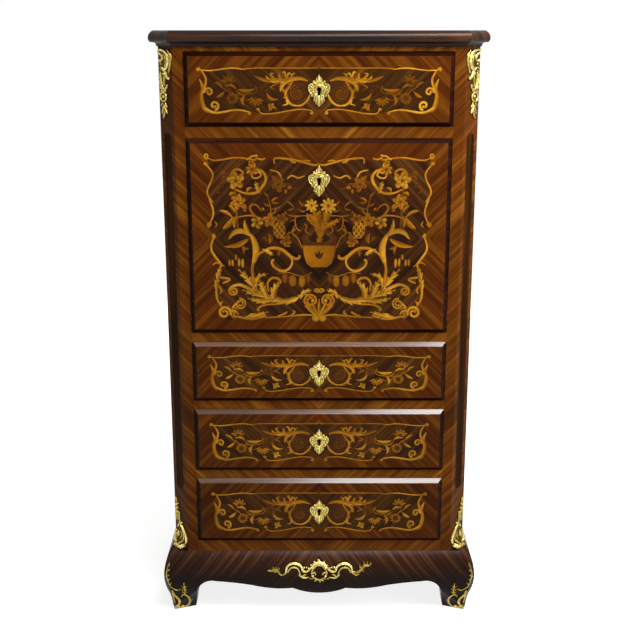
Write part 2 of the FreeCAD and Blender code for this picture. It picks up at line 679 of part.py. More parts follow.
def drawer_tails(inner, outer, bottom, height):
    """Dovetails of one drawer side, drawn in depth and height."""
    tails = []
    back = FRONT_INSET
    front = FRONT_INSET - TAIL_LENGTH
    for number in range(TAIL_COUNT):
        middle = bottom + height / 2 + (number - (TAIL_COUNT - 1) / 2) * TAIL_PITCH_SHARE * height
        root = TAIL_ROOT_SHARE * height / 2
        end = TAIL_END_SHARE * height / 2
        points = [
            Vector(inner, back, middle - root),
            Vector(inner, front, middle - end),
            Vector(inner, front, middle + end),
            Vector(inner, back, middle + root),
        ]
        tails.append(polygon(points).extrude(Vector(outer - inner, 0, 0)))
    return tails


def build_drawer(sill, opening, key_plate):
    front = front_slab(sill + FRONT_GAP, sill + opening - FRONT_GAP)
    outer = HALF_OPENING - FRONT_GAP - RUN_CLEARANCE
    inner = outer - SIDE_THICKNESS
    height = opening - SIDE_TOP_GAP
    side = block((inner, outer), (FRONT_INSET, DRAWER_DEPTH), (sill, sill + height))
    tails = drawer_tails(inner, outer, sill + FRONT_GAP, height - FRONT_GAP)
    panel_z = (sill + BOTTOM_RAISE, sill + BOTTOM_RAISE + LINING_BOTTOM)
    panel = centred(inner + GROOVE, (FRONT_INSET - GROOVE, DRAWER_DEPTH), panel_z)
    side = joined([side] + tails).cut(panel)
    back = centred(inner, (DRAWER_DEPTH - LINING_BACK, DRAWER_DEPTH), (panel_z[1], sill + height))
    for tail in tails:
        front = front.cut(tail).cut(mirrored(tail))
    front = front.cut(panel)
    key_height = sill + opening / 2
    lock, bolt, room = lock_parts(sill + opening - FRONT_GAP, key_height)
    front = front.cut(room).cut(keyhole_at(key_height, (-PROUD - OVERRUN, FRONT_INSET)))
    return {
        "front": front,
        "box": group(pair(side) + [back, panel]),
        "lock": lock,
        "bolt": bolt,
        "escutcheon": escutcheon(key_height, key_plate),
    }


# Escutcheons: cast keyhole plates; the keyhole sits above the middle
PLATE_KEY_SHARE = 0.54
PLATE_RELIEF = 3.0
PLATE_SHARES = (
    (0.0, 1.0, 0.0), (0.10, 0.94, 0.0), (0.36, 0.80, 0.3), (0.66, 0.73, 0.25), (1.0, 0.60, 0.0), (0.90, 0.46, 0.0),
    (0.74, 0.34, 0.0), (0.48, 0.36, 0.0), (0.60, 0.19, 0.0), (0.40, 0.19, 0.0), (0.38, 0.09, 0.0),
    (0.18, 0.10, 0.0), (0.0, 0.0, 0.0),
)


def escutcheon(key_height, size):
    half, height = size
    foot = key_height - PLATE_KEY_SHARE * height
    outline, swells = both_sides(PLATE_SHARES)
    points = [Vector(x * half, -PROUD, foot + z * height) for x, z in outline]
    shape = lobed(points, swells, FRONT_FACE[1]).extrude(Vector(0, -PLATE_RELIEF, 0))
    return shape.cut(keyhole_at(key_height, (-PROUD - OVERRUN, 0)))


# Fall: panel, leather let into its inner face, lock at its top edge, pivots in its ends
LEATHER_SIDE = 59.75
LEATHER_FOOT = 76.0
LEATHER_HEAD = 128.0
LEATHER_THICKNESS = 1.5


def build_fall():
    bottom = FALL_SILL + FALL_FOOT_GAP
    top = FALL_SILL + FALL_OPENING - FRONT_GAP
    panel = front_slab(bottom, top)
    leather = centred(
        HALF_OPENING - LEATHER_SIDE,
        (FRONT_INSET - LEATHER_THICKNESS, FRONT_INSET),
        (FALL_SILL + LEATHER_FOOT, FALL_SILL + FALL_OPENING - LEATHER_HEAD),
    )
    key_height = FALL_SILL + FALL_OPENING - FALL_KEY_DROP
    lock, bolt, room = lock_parts(top, key_height)
    half = HALF_OPENING - FRONT_GAP
    plate_low = max(PIVOT_Z - PLATE_HALF_HEIGHT, bottom + PLATE_THICKNESS)
    seat = block(
        (half - PLATE_THICKNESS, half),
        (FRONT_INSET - 2 * (FRONT_INSET - PIVOT_DEPTH), FRONT_INSET),
        (plate_low, PIVOT_Z + PLATE_HALF_HEIGHT),
    )
    pin = rod(PIVOT_RADIUS, (half - PLATE_THICKNESS, HALF_OPENING + PIN_LENGTH), PIVOT_DEPTH, PIVOT_Z)
    panel = panel.cut(leather).cut(room).cut(keyhole_at(key_height, (-PROUD - OVERRUN, FRONT_INSET)))
    panel = panel.cut(seat).cut(mirrored(seat))
    return {
        "fall_panel": panel,
        "writing_leather": leather,
        "fall_lock": lock,
        "fall_bolt": bolt,
        "fall_escutcheon": escutcheon(key_height, UPPER_PLATE),
        "fall_pivots": group(pair(joined([seat, pin]))),
    }


# Nest: cheeks line the compartment; shelves, partitions and four small drawers stand back from the fall
CHEEK = 8.0
CHEEK_SETBACK = 24.0
NEST_SETBACK = 110.0
SHELF = 8.0
SMALL_OPENING = 74.0
PIGEON_HEIGHT = 124.0
SMALL_INNER_SHARE = 0.393
SMALL_GAP = 0.8
SMALL_FRONT = 12.0
SMALL_SIDE = 6.0
SMALL_BOTTOM = 4.0
SMALL_TOP_GAP = 6.0
SMALL_BACK_GAP = 40.0
KNOB_RADIUS = 6.5
KNOB_NECK = 3.0
KNOB_LENGTH = 13.0
NEST_HALF = HALF_OPENING - CHEEK
SMALL_DEPTH = INNER_DEPTH - NEST_SETBACK - SMALL_BACK_GAP
SHELF_LOW = FLOOR_TOP + 2 * SMALL_OPENING + SHELF
SHELF_HIGH = SHELF_LOW + SHELF + PIGEON_HEIGHT
SMALL_INNER = SMALL_INNER_SHARE * NEST_HALF


def build_nest():
    depth = (NEST_SETBACK, INNER_DEPTH)
    under_rail = block((NEST_HALF, HALF_OPENING), (CHEEK_SETBACK, RAIL_DEPTH), (FLOOR_TOP, FALL_SILL + FALL_OPENING))
    behind_rail = block((NEST_HALF, HALF_OPENING), (RAIL_DEPTH, INNER_DEPTH), (FLOOR_TOP, CEILING))
    cheek = joined([under_rail, behind_rail])
    shelf_z = FLOOR_TOP + SMALL_OPENING
    short = block((SMALL_INNER, NEST_HALF), depth, (shelf_z, shelf_z + SHELF))
    shelves = [centred(NEST_HALF, depth, (z, z + SHELF)) for z in (SHELF_LOW, SHELF_HIGH)] + pair(short)
    partitions = []
    for z in ((FLOOR_TOP, SHELF_LOW), (SHELF_LOW + SHELF, SHELF_HIGH)):
        partitions += pair(block((SMALL_INNER - SHELF, SMALL_INNER), depth, z))
    return {
        "nest_cheeks": group(pair(cheek)),
        "nest_shelves": group(shelves),
        "nest_partitions": group(partitions),
    }


def knob(x, z):
    """Turned brass knob, its axis square to the small front."""
    half = KNOB_LENGTH / 2
    middle = Vector(x, NEST_SETBACK - half, z)
    stem = Part.makeCone(KNOB_RADIUS, KNOB_NECK, half, middle, Vector(0, 1, 0))
    crown = Part.makeCone(KNOB_RADIUS, KNOB_NECK, half, middle, Vector(0, -1, 0))
    return joined([stem, crown])


def build_small_drawer(sign, level):
    """One small drawer: front, two sides, back, bottom and knob, on the left or the right."""
    sill = FLOOR_TOP + level * (SMALL_OPENING + SHELF)
    inner, outer = SMALL_INNER + SMALL_GAP, NEST_HALF - SMALL_GAP
    back = NEST_SETBACK + SMALL_DEPTH
    front = block((inner, outer), (NEST_SETBACK, NEST_SETBACK + SMALL_FRONT), (sill, sill + SMALL_OPENING - SMALL_GAP))
    side_y = (NEST_SETBACK + SMALL_FRONT, back)
    side_z = (sill, sill + SMALL_OPENING - SMALL_TOP_GAP)
    sides = [block(x, side_y, side_z) for x in ((inner, inner + SMALL_SIDE), (outer - SMALL_SIDE, outer))]
    between = (inner + SMALL_SIDE, outer - SMALL_SIDE)
    bottom = block(between, side_y, (sill, sill + SMALL_BOTTOM))
    rear = block(between, (back - SMALL_SIDE, back), (sill + SMALL_BOTTOM, side_z[1]))
    pieces = [front, bottom, rear, knob((inner + outer) / 2, sill + SMALL_OPENING / 2)] + sides
    return group(pieces if sign > 0 else [mirrored(piece) for piece in pieces])


def main():
    os.makedirs("parts", exist_ok=True)
    boards = build_boards()
    side = build_side(boards)
    post, post_plate = build_posts()
    write("top_board", build_top())
    write("right_side", side)
    write("left_side", mirrored(side))
    write("right_corner_post", post)
    write("left_corner_post", mirrored(post))
    write("pivot_plates", group(pair(post_plate)))
    write("back_panel", centred(INNER_HALF, (INNER_DEPTH, CASE_DEPTH), (BASE_HEIGHT, CASE_TOP)))
    for name, rail in build_rails().items():
        write(name, rail)
    for name, shape in boards.items():
        write(name, group(shape) if isinstance(shape, list) else shape)
    write("drawer_guides", group(build_guides()))
    write("front_apron", build_front_apron())
    write("side_aprons", group(pair(build_side_apron(boards["bottom_board"]))))
    write("front_feet", group(pair(build_front_foot())))
    write("rear_feet", group(pair(build_rear_foot(boards["bottom_board"]))))
    write("apron_mount", build_apron_mount())
    write("upper_corner_mounts", group(pair(build_upper_mount())))
    write("lower_corner_mounts", group(pair(build_lower_mount())))
    write("sabots", group(pair(build_sabot())))
    for name, shape in build_nest().items():
        write(name, shape)
    for name, shape in build_fall().items():
        write(name, shape)
    for name, sill, opening, key_plate in DRAWERS:
        for piece, shape in build_drawer(sill, opening, key_plate).items():
            write(name + "_drawer_" + piece, shape)
    for side_name, sign in (("left", -1), ("right", 1)):
        for level_name, level in (("lower", 0), ("upper", 1)):
            write(side_name + "_" + level_name + "_small_drawer", build_small_drawer(sign, level))


if __name__ == "__main__":
    main()
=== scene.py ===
import bmesh
import bpy
import math
from mathutils import Matrix, Vector
from mathutils.bvhtree import BVHTree
from mathutils.geometry import tessellate_polygon

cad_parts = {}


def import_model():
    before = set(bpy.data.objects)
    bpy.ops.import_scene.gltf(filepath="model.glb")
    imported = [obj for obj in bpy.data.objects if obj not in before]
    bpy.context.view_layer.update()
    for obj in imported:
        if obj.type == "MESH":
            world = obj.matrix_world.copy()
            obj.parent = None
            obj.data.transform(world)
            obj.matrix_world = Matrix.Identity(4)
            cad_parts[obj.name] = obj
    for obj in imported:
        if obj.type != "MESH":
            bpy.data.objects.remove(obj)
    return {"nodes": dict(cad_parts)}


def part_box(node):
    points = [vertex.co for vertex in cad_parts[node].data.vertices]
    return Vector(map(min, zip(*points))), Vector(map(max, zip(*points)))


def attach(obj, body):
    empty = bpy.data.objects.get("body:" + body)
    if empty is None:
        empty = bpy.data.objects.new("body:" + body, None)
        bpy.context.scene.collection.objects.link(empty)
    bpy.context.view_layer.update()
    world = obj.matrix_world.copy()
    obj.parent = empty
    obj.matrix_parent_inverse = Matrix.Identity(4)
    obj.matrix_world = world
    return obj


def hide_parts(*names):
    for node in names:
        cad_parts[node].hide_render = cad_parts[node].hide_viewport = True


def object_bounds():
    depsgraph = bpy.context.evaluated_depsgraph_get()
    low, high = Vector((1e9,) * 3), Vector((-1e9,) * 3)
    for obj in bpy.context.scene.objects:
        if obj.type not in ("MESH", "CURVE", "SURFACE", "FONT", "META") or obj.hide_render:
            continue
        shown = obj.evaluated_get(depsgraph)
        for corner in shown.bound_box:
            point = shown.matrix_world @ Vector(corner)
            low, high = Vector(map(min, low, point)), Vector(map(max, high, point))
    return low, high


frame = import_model()
cad_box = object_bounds()

# Carcase: oak sides, corner posts and rails, faced with kingwood sawn into thin leaves.
# The leaves are glued slantwise, meet in a chevron on the middle line, and are french polished.
MM = 0.001
nodes = frame["nodes"]
case_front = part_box("base_rail")[0][1]
case_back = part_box("back_panel")[1][1]
side_middle = (case_front + case_back) / 2
case_middle_z = 0.77
band_run, line_run = 420, 130
cloud_mm, pore_mm = (260, 70), (9, 0.7)
in_colour = {"out": 2, "data_type": "RGBA"}
multiplied = {**in_colour, "blend_type": "MULTIPLY"}


def linear(colour):
    """Linear colour of an sRGB hex value."""
    parts = [int(colour[i:i + 2], 16) / 255 for i in (1, 3, 5)]
    return [p / 12.92 if p <= 0.04045 else ((p + 0.055) / 1.055) ** 2.4 for p in parts] + [1.0]


def fill(tree, sockets, values):
    """Sets sockets to numbers or hex colours, or links them to the outputs of other nodes."""
    for socket, value in values.items():
        if isinstance(value, bpy.types.NodeSocket):
            tree.links.new(value, sockets[socket])
        else:
            sockets[socket].default_value = linear(value) if isinstance(value, str) else value


def add(tree, kind, inputs=None, out=0, stops=(), **settings):
    """Adds a node with its settings and links, and gives one of its outputs."""
    node = tree.nodes.new("ShaderNode" + kind)
    for name, value in settings.items():
        setattr(node, name, value)
    fill(tree, node.inputs, inputs or {})
    for i, (place, colour) in enumerate(stops):
        steps = node.color_ramp.elements
        step = steps[i] if i < 2 else steps.new(place)
        step.position = place
        step.color = linear(colour)
    return node.outputs[out]


def finish(name, roughness, specular=0.5, metallic=0.0):
    """New material with the values that are the same all over it."""
    material = bpy.data.materials.new(name)
    material.use_nodes = True
    tree = material.node_tree
    shader = tree.nodes["Principled BSDF"].inputs
    fill(tree, shader, {"Roughness": roughness, "Specular IOR Level": specular, "Metallic": metallic})
    return material, tree, shader


def along_axes(tree):
    """Place on a piece in the cabinet's frame, in metres along X, Y and Z."""
    return add(tree, "SeparateXYZ", {0: add(tree, "TexCoord", out="Object")}).node.outputs


def leaf_plane(tree, plane, fold=()):
    """Place on a face, folded at the joints of matched leaves. On a box, the grain follows each board."""
    axes = along_axes(tree)
    if plane == "box":
        normal = add(tree, "SeparateXYZ", {0: add(tree, "NewGeometry", out="Normal")}).node.outputs
        faced = [add(tree, "Math", {0: normal[axis]}, operation="ABSOLUTE") for axis in "YZ"]
        along = add(tree, "Mix", {0: faced[0], 2: axes["Y"], 3: axes["X"]})
        across = add(tree, "Mix", {0: faced[1], 2: axes["Z"], 3: axes["X"]})
        return add(tree, "CombineXYZ", {0: along, 1: across})
    folded = [axes[axis] for axis in plane + "XYZ".strip(plane)]
    for i, joint in enumerate(fold):
        if joint is not None:
            offset = add(tree, "Math", {0: folded[i], 1: joint}, operation="SUBTRACT")
            folded[i] = add(tree, "Math", {0: offset}, operation="ABSOLUTE")
    return add(tree, "CombineXYZ", dict(enumerate(folded)))


def streaks(tree, flat, lean, length_mm, width_mm, detail=3.0, distortion=0.0):
    """Noise drawn out along the grain, with cells of that length and width."""
    cell = (length_mm * MM, width_mm * MM, length_mm * MM)
    turned = {"Vector": flat, "Rotation": (0, 0, math.radians(lean)), "Scale": cell}
    laid = add(tree, "Mapping", turned, vector_type="TEXTURE")
    noise = {"Vector": laid, "Scale": 1.0, "Detail": detail, "Roughness": 0.6, "Distortion": distortion}
    return add(tree, "TexNoise", noise)


def veneer(name, tones, lean, plane="XZ", fold=(0.0, None), band_mm=10, line_mm=1.6, roughness=0.38,
           specular=0.05, beyond=()):
    """Sawn leaf under shellac: clouds and bands of heartwood, fine dark lines and pores, in a satin gloss.
    Pores are drawn wider than real ones, to show. Past each limit in beyond, the wood has other colours."""
    material, tree, shader = finish(name, roughness, specular)
    flat = leaf_plane(tree, plane, fold)
    bands = streaks(tree, flat, lean, band_run, band_mm, 4.0, 0.2)
    lines = streaks(tree, flat, lean, line_run, line_mm)
    clouds = streaks(tree, flat, lean, *cloud_mm, 2.0)
    pores = streaks(tree, flat, lean, *pore_mm, 1.0)
    colour = add(tree, "ValToRGB", {0: bands}, stops=list(zip((0.32, 0.5, 0.68), tones)))
    depth = add(tree, "MapRange", {0: clouds, 1: 0.32, 2: 0.68, 3: 0.7, 4: 1.3})
    colour = add(tree, "Mix", {0: 1.0, 6: colour, 7: depth}, **multiplied)
    drawn = add(tree, "ValToRGB", {0: lines}, stops=((0.34, "#C0C0C0"), (0.54, "#000000")))
    colour = add(tree, "Mix", {0: drawn, 6: colour, 7: tones[0]}, **in_colour)
    open_pores = add(tree, "ValToRGB", {0: pores}, stops=((0.3, "#9A9A9A"), (0.42, "#000000")))
    colour = add(tree, "Mix", {0: open_pores, 6: colour, 7: tones[0]}, **in_colour)
    for axis, limit, dark, light in beyond:
        there = add(tree, "Math", {0: along_axes(tree)[axis], 1: limit}, operation="GREATER_THAN")
        figure = add(tree, "MapRange", {0: bands, 1: 0.36, 2: 0.64})
        other = add(tree, "Mix", {0: figure, 6: dark, 7: light}, **in_colour)
        other = add(tree, "Mix", {0: drawn, 6: other, 7: dark}, **in_colour)
        colour = add(tree, "Mix", {0: there, 6: colour, 7: other}, **in_colour)
    bump = add(tree, "Bump", {"Height": lines, "Strength": 0.35, "Distance": 0.06 * MM})
    fill(tree, shader, {"Base Color": colour, "Normal": bump})
    return material


def dress(material, *names):
    """Gives CAD pieces their finish."""
    for name in names:
        slots = nodes[name].data.materials
        slots.clear()
        slots.append(material)


# Kingwood: violet brown heartwood in stripes. The rails have a lighter copy of it, painted light that stands
# for the light falling on them.
kingwood_tones = ("#3E1B03", "#5C2F07", "#7E4C11")
dress(veneer("kingwood_chevron", kingwood_tones, 45), "left_corner_post", "right_corner_post")
dress(veneer("rail_kingwood_painted_light", ("#502606", "#723F0C", "#965E19"), 45), "base_rail", "lower_drawer_rail",
      "upper_drawer_rail", "fall_rail", "frieze_rail", "top_rail")
kingwood_quarters = veneer("kingwood_quarters", kingwood_tones, 45, "YZ", (side_middle, case_middle_z))
dress(kingwood_quarters, "left_side", "right_side")

# Inlaid panels of the canted corners and the sides: tulipwood leaves with upright grain,
# let in flush and cut to round ends, with a boxwood string round the side panels.
half_flat = 322.0
cant = 35.0
side_x = half_flat + cant
inlay_lift = 0.12
cant_panel = (13.0, 318.0, 1178.0)
side_panel = (125.0, 250.0, 1320.0)
side_round = 26.0
string_width = 2.2


def piece_of(name, points, faces, material, body):
    """Adds a piece to the scene, riding on its body."""
    mesh = bpy.data.meshes.new(name)
    mesh.from_pydata(points, [], faces)
    mesh.materials.append(material)
    piece = bpy.data.objects.new(name, mesh)
    bpy.context.collection.objects.link(piece)
    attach(piece, body)
    return piece


def worked(piece, kind, **settings):
    """Adds a modifier with its settings."""
    step = piece.modifiers.new(kind.lower(), kind)
    for name, value in settings.items():
        setattr(step, name, value)


def inlay(name, points, faces, material, body, thick_mm=0.5):
    """Thin leaf let into a face: its faces show, and its thickness goes inwards."""
    piece = piece_of(name, points, faces, material, body)
    worked(piece, "SOLIDIFY", thickness=thick_mm * MM, offset=-1)
    return piece


def round_ended(half, low, high, rise):
    """Upright panel with round ends, drawn anticlockwise from its lower left."""
    outline = []
    for middle_z, first in ((low + rise, 180), (high - rise, 0)):
        for turn in range(0, 181, 15):
            angle = math.radians(first + turn)
            outline.append((half * math.cos(angle), middle_z + rise * math.sin(angle)))
    return outline


def on_cant(side, along, out, z):
    """Point on a canted corner: along it from its middle, outwards and up, in millimetres."""
    share = math.sqrt(0.5)
    x = half_flat + cant / 2 + (along + out) * share
    depth = cant / 2 + (along - out) * share
    return (side * x * MM, case_front + depth * MM, z * MM)


# Tulipwood is striped and honey brown on the sides; in the narrow panels of the canted corners it is painted
# almost black, a painted shade on those turned faces. Boxwood is yellow.
painted_shade_tulipwood, tulipwood = ("#1A0B02", "#341A05", "#502D0A"), ("#4A2307", "#73420F", "#925B1A")
tulipwood_upright_painted_shade = veneer("tulipwood_upright_painted_shade", painted_shade_tulipwood, 90, "XZ", (), 7, 1.2, 0.5, 0.02)
tulipwood_side = veneer("tulipwood_side", tulipwood, 90, "YZ", (side_middle,), 16, 1.4)
boxwood_string = veneer("boxwood_string", ("#7A4C12", "#A06A1C", "#B98128"), 90, "XZ", (), 5)
for side, word in ((1, "right"), (-1, "left")):
    half, low, high = cant_panel
    outline = round_ended(half, low, high, half)[::side]
    points = [on_cant(side, x, inlay_lift, z) for x, z in outline]
    inlay(word + "_cant_panel", points, [range(len(points))], tulipwood_upright_painted_shade, "case")
    half, low, high = side_panel
    for name, material, spread, out in (("string", boxwood_string, string_width, inlay_lift),
                                        ("panel", tulipwood_side, 0, 2 * inlay_lift)):
        outline = round_ended(half + spread, low - spread, high + spread, side_round)[::side]
        points = [(side * (side_x + out) * MM, side_middle + y * MM, z * MM) for y, z in outline]
        inlay(word + "_side_" + name, points, [range(len(points))], material, "case")

# Top: one board of dark walnut, its edge worked with planes to a rounded nose over a hollow.
# Polished almost black, it shows brown only where light falls on the flat.
walnut_top = veneer("walnut_top", ("#0F0502", "#241007", "#45240F"), 0, "XY", (), 16, 1.6, 0.28, 0.16)
dress(walnut_top, "top_board")

# Base: bombe apron, side aprons and cabriole feet, sawn from the solid and veneered in dark walnut.
# The slanting leaves meet on the middle line. Towards the floor their colour is painted nearly black, a
# painted shade under the swell, and the lighter walnut above stands partly for the sheen on the swell.
apron_tones = ("#26120A", "#4A2713", "#7A4E2F")
painted_shade_below, painted_shade_above = 0.095, 0.185
wood_share_at_floor = 0.1


def opened(material):
    """A material's nodes, its shader's sockets and the colour that it has so far."""
    tree = material.node_tree
    shader = tree.nodes["Principled BSDF"].inputs
    return tree, shader, shader["Base Color"].links[0].from_socket


for name, plane, fold, pieces in (("walnut_apron", "XZ", (0.0, None), ("front_apron", "front_feet")),
                                  ("walnut_flank", "YZ", (side_middle,), ("side_aprons", "rear_feet"))):
    walnut = veneer(name, apron_tones, -48, plane, fold, 6, 1.6, 0.3, 0.08)
    tree, shader, polished = opened(walnut)
    # Painted shade: the colour darkens towards near-black from the swell down to the floor.
    rise = {0: along_axes(tree)["Z"], 1: painted_shade_below, 2: painted_shade_above, 3: wood_share_at_floor, 4: 1.0}
    painted_floor_shade = add(tree, "Mix", {0: add(tree, "MapRange", rise), 6: "#0D0503", 7: polished}, **in_colour)
    fill(tree, shader, {"Base Color": painted_floor_shade})
    dress(walnut, *pieces)

# Hidden woodwork: oak back, bottom, dust boards, drawer guides and linings, planed and left bare.
# Bare oak is matt, and its open pores show as short dark dashes along the grain.
# The back is of upright boards, butted edge to edge.
oak_tones = ("#6E4E2A", "#94703F", "#B3905A")
board_width = 132 * MM
joint_half = 1.2 * MM
oak_upright = veneer("oak_upright", oak_tones, 90, "XZ", (), 34, 2.4, 0.65)
oak_across = veneer("oak_across", oak_tones, 0, "XY", (), 30, 2.4, 0.65)
oak_lengthwise = veneer("oak_lengthwise", oak_tones, 0, "box", (), 24, 2.0, 0.6)
tree, shader, planed = opened(oak_upright)
boards = add(tree, "Math", {0: along_axes(tree)["X"], 1: board_width}, operation="DIVIDE")
board = add(tree, "Math", {0: boards}, operation="FLOOR")
chance = add(tree, "TexWhiteNoise", {"W": board}, noise_dimensions="1D")
depth = add(tree, "MapRange", {0: chance, 3: 0.72, 4: 1.12})
planed = add(tree, "Mix", {0: 1.0, 6: planed, 7: depth}, **multiplied)
from_joint = add(tree, "Math", {0: boards, 1: 0.5}, operation="PINGPONG")
joint = add(tree, "Math", {0: from_joint, 1: joint_half / board_width}, operation="LESS_THAN")
fill(tree, shader, {"Base Color": add(tree, "Mix", {0: joint, 6: planed, 7: "#2A1A0C"}, **in_colour)})
dress(oak_upright, "back_panel")
dress(oak_across, "bottom_board", "dust_boards")
dress(oak_lengthwise, "drawer_guides")

# Compartment behind the fall: floor, ceiling, cheeks, shelves and partitions faced in satinwood.
# Cleaner and paler than the outside, because light has not reached it.
satinwood_tones = ("#7A4C1E", "#A87234", "#C6954E")
satinwood_flat = veneer("satinwood_flat", satinwood_tones, 0, "XY", (), 26, 1.8)
satinwood_upright = veneer("satinwood_upright", satinwood_tones, 90, "YZ", (), 22)
dress(satinwood_flat, "compartment_floor", "compartment_ceiling", "nest_shelves")
dress(satinwood_upright, "nest_cheeks", "nest_partitions")

# Small drawers of the nest: oak boxes with a satinwood front and a turned knob screwed into it.
# The knobs are cast brass, gone dull in patches.
nest_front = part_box("nest_shelves")[0][1]
front_thickness = 12.2
oak_inside = ("Y", nest_front + front_thickness * MM, "#7A5830", "#A8844E")
satinwood_front = veneer("satinwood_front", satinwood_tones, 0, "XZ", (), 20, 1.5, 0.36, beyond=(oak_inside,))
knob_height = 37
knob_sides = 24
knob_profile = (
    (0, 7.4), (1.2, 7.4), (2, 5.3), (3.2, 5), (5, 6.3), (6.5, 7), (8.5, 6.8), (11, 5.5), (12.6, 3.9),
    (13.1, 3.1), (13.4, 0.2),
)


def worn_metal(name, dull, bright, patch_mm, roughness):
    """Cast or drawn metal gone dull in patches, as handling leaves it."""
    material, tree, shader = finish(name, roughness, metallic=1.0)
    cloud = streaks(tree, leaf_plane(tree, "XZ"), 0, patch_mm, patch_mm, 4.0)
    colour = add(tree, "ValToRGB", {0: cloud}, stops=((0.35, dull), (0.62, bright)))
    gloss = add(tree, "MapRange", {0: cloud, 1: 0.3, 2: 0.7, 3: roughness + 0.15, 4: roughness - 0.08})
    fill(tree, shader, {"Base Color": colour, "Roughness": gloss})
    return material


def between(count, rings):
    """Faces between rings of as many points each, one after the other."""
    faces = []
    for k in range(0, (rings - 1) * count, count):
        for i in range(count):
            after = (i + 1) % count
            faces.append([k + i, k + after, k + count + after, k + count + i])
    return faces


lock_brass = worn_metal("lock_brass", "#8A6A30", "#D8B366", 6, 0.32)
for side in ("left", "right"):
    for level in ("lower", "upper"):
        name = side + "_" + level + "_small_drawer"
        dress(satinwood_front, name)
        low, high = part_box(name)
        points = []
        for out, radius in knob_profile:
            for i in range(knob_sides):
                x = radius * math.cos(math.tau * i / knob_sides)
                z = radius * math.sin(math.tau * i / knob_sides) + knob_height
                points.append(((low[0] + high[0]) / 2 + x * MM, nest_front - out * MM, low[2] + z * MM))
        faces = between(knob_sides, len(knob_profile))
        faces += [range(knob_sides)[::-1], range(len(points))[-knob_sides:]]
        piece_of(name + "_knob", points, faces, lock_brass, name + "_body").data.shade_smooth()

# Drawer fronts and fall: oak panels that stand proud of the case, veneered in slanting kingwood.
# The bevels are pear stained almost black. On the lower drawers the upper run has a lighter copy of it, a
# painted highlight for the overhead light.
# The inner face of a drawer front is bare oak.
proud = 9.0 * MM
field_y = case_front - proud
past_face = 0.4 * MM
drawers = ["lower_drawer", "middle_drawer", "upper_drawer", "frieze_drawer"]
fronts = drawers + ["fall"]
bevel = ("Y", field_y + past_face, "#180C07", "#2C1A10")
bare_oak = ("Y", case_front + past_face, "#7E5C34", "#A8844E")
inner_kingwood = ("Y", case_front + past_face, "#5A2E10", "#8E5A26")
drawer_kingwood = veneer("drawer_kingwood", ("#391602", "#522704", "#72420C"), -45, beyond=(bevel, bare_oak))
for name in drawers:
    dress(drawer_kingwood, name + "_front")
    dress(oak_lengthwise, name + "_box")
fall_low, fall_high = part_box("fall_panel")
fall_fold = (0.0, (fall_low[2] + fall_high[2]) / 2)
fall_kingwood = veneer("fall_kingwood", ("#391602", "#572905", "#7F4A10"), 45, "XZ", fall_fold, 13,
                       beyond=(bevel, inner_kingwood))
dress(fall_kingwood, "fall_panel")


def ring_of(low, high, inset, y):
    """Corners of a frame set in from the edge of a box, from the lower left round to the upper left."""
    left, right, foot, head = low[0] + inset, high[0] - inset, low[2] + inset, high[2] - inset
    return [(left, y, foot), (right, y, foot), (right, y, head), (left, y, head)]


ebonised_pear = veneer("ebonised_pear", ("#140502", "#220C05", "#3C1B0A"), 0, "XZ", (), 8, 1.5, 0.3, 0.04)
painted_highlight_pear = veneer("painted_highlight_pear", ("#3E2618", "#5E3E2C", "#80604C"), 0, "XZ", (), 8, 1.5, 0.18, 0.42)
upper_run = 2
for name in fronts:
    low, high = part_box("fall_panel" if name == "fall" else name + "_front")
    lift = inlay_lift * MM
    rims = ring_of(low, high, 0.0, case_front - lift) + ring_of(low, high, proud, field_y - lift)
    facing = inlay(name + "_bevel", rims, between(4, 2), ebonised_pear, name, thick_mm=0.3)
    # Painted highlight: the upper run of the three lower drawers' bevels takes the lighter pear.
    facing.data.materials.append(painted_highlight_pear)
    facing.data.polygons[upper_run].material_index = int(name in drawers[:3])

# Marquetry: satinwood and fruitwoods cut with a fret saw, their edges shaded in hot sand,
# let into a reserve of dark rosewood. Drawn at full size, in millimetres from the middle of a field's foot.
first_lift, leaf_lift = 0.1, 0.0012
leaf_thickness = 1.0


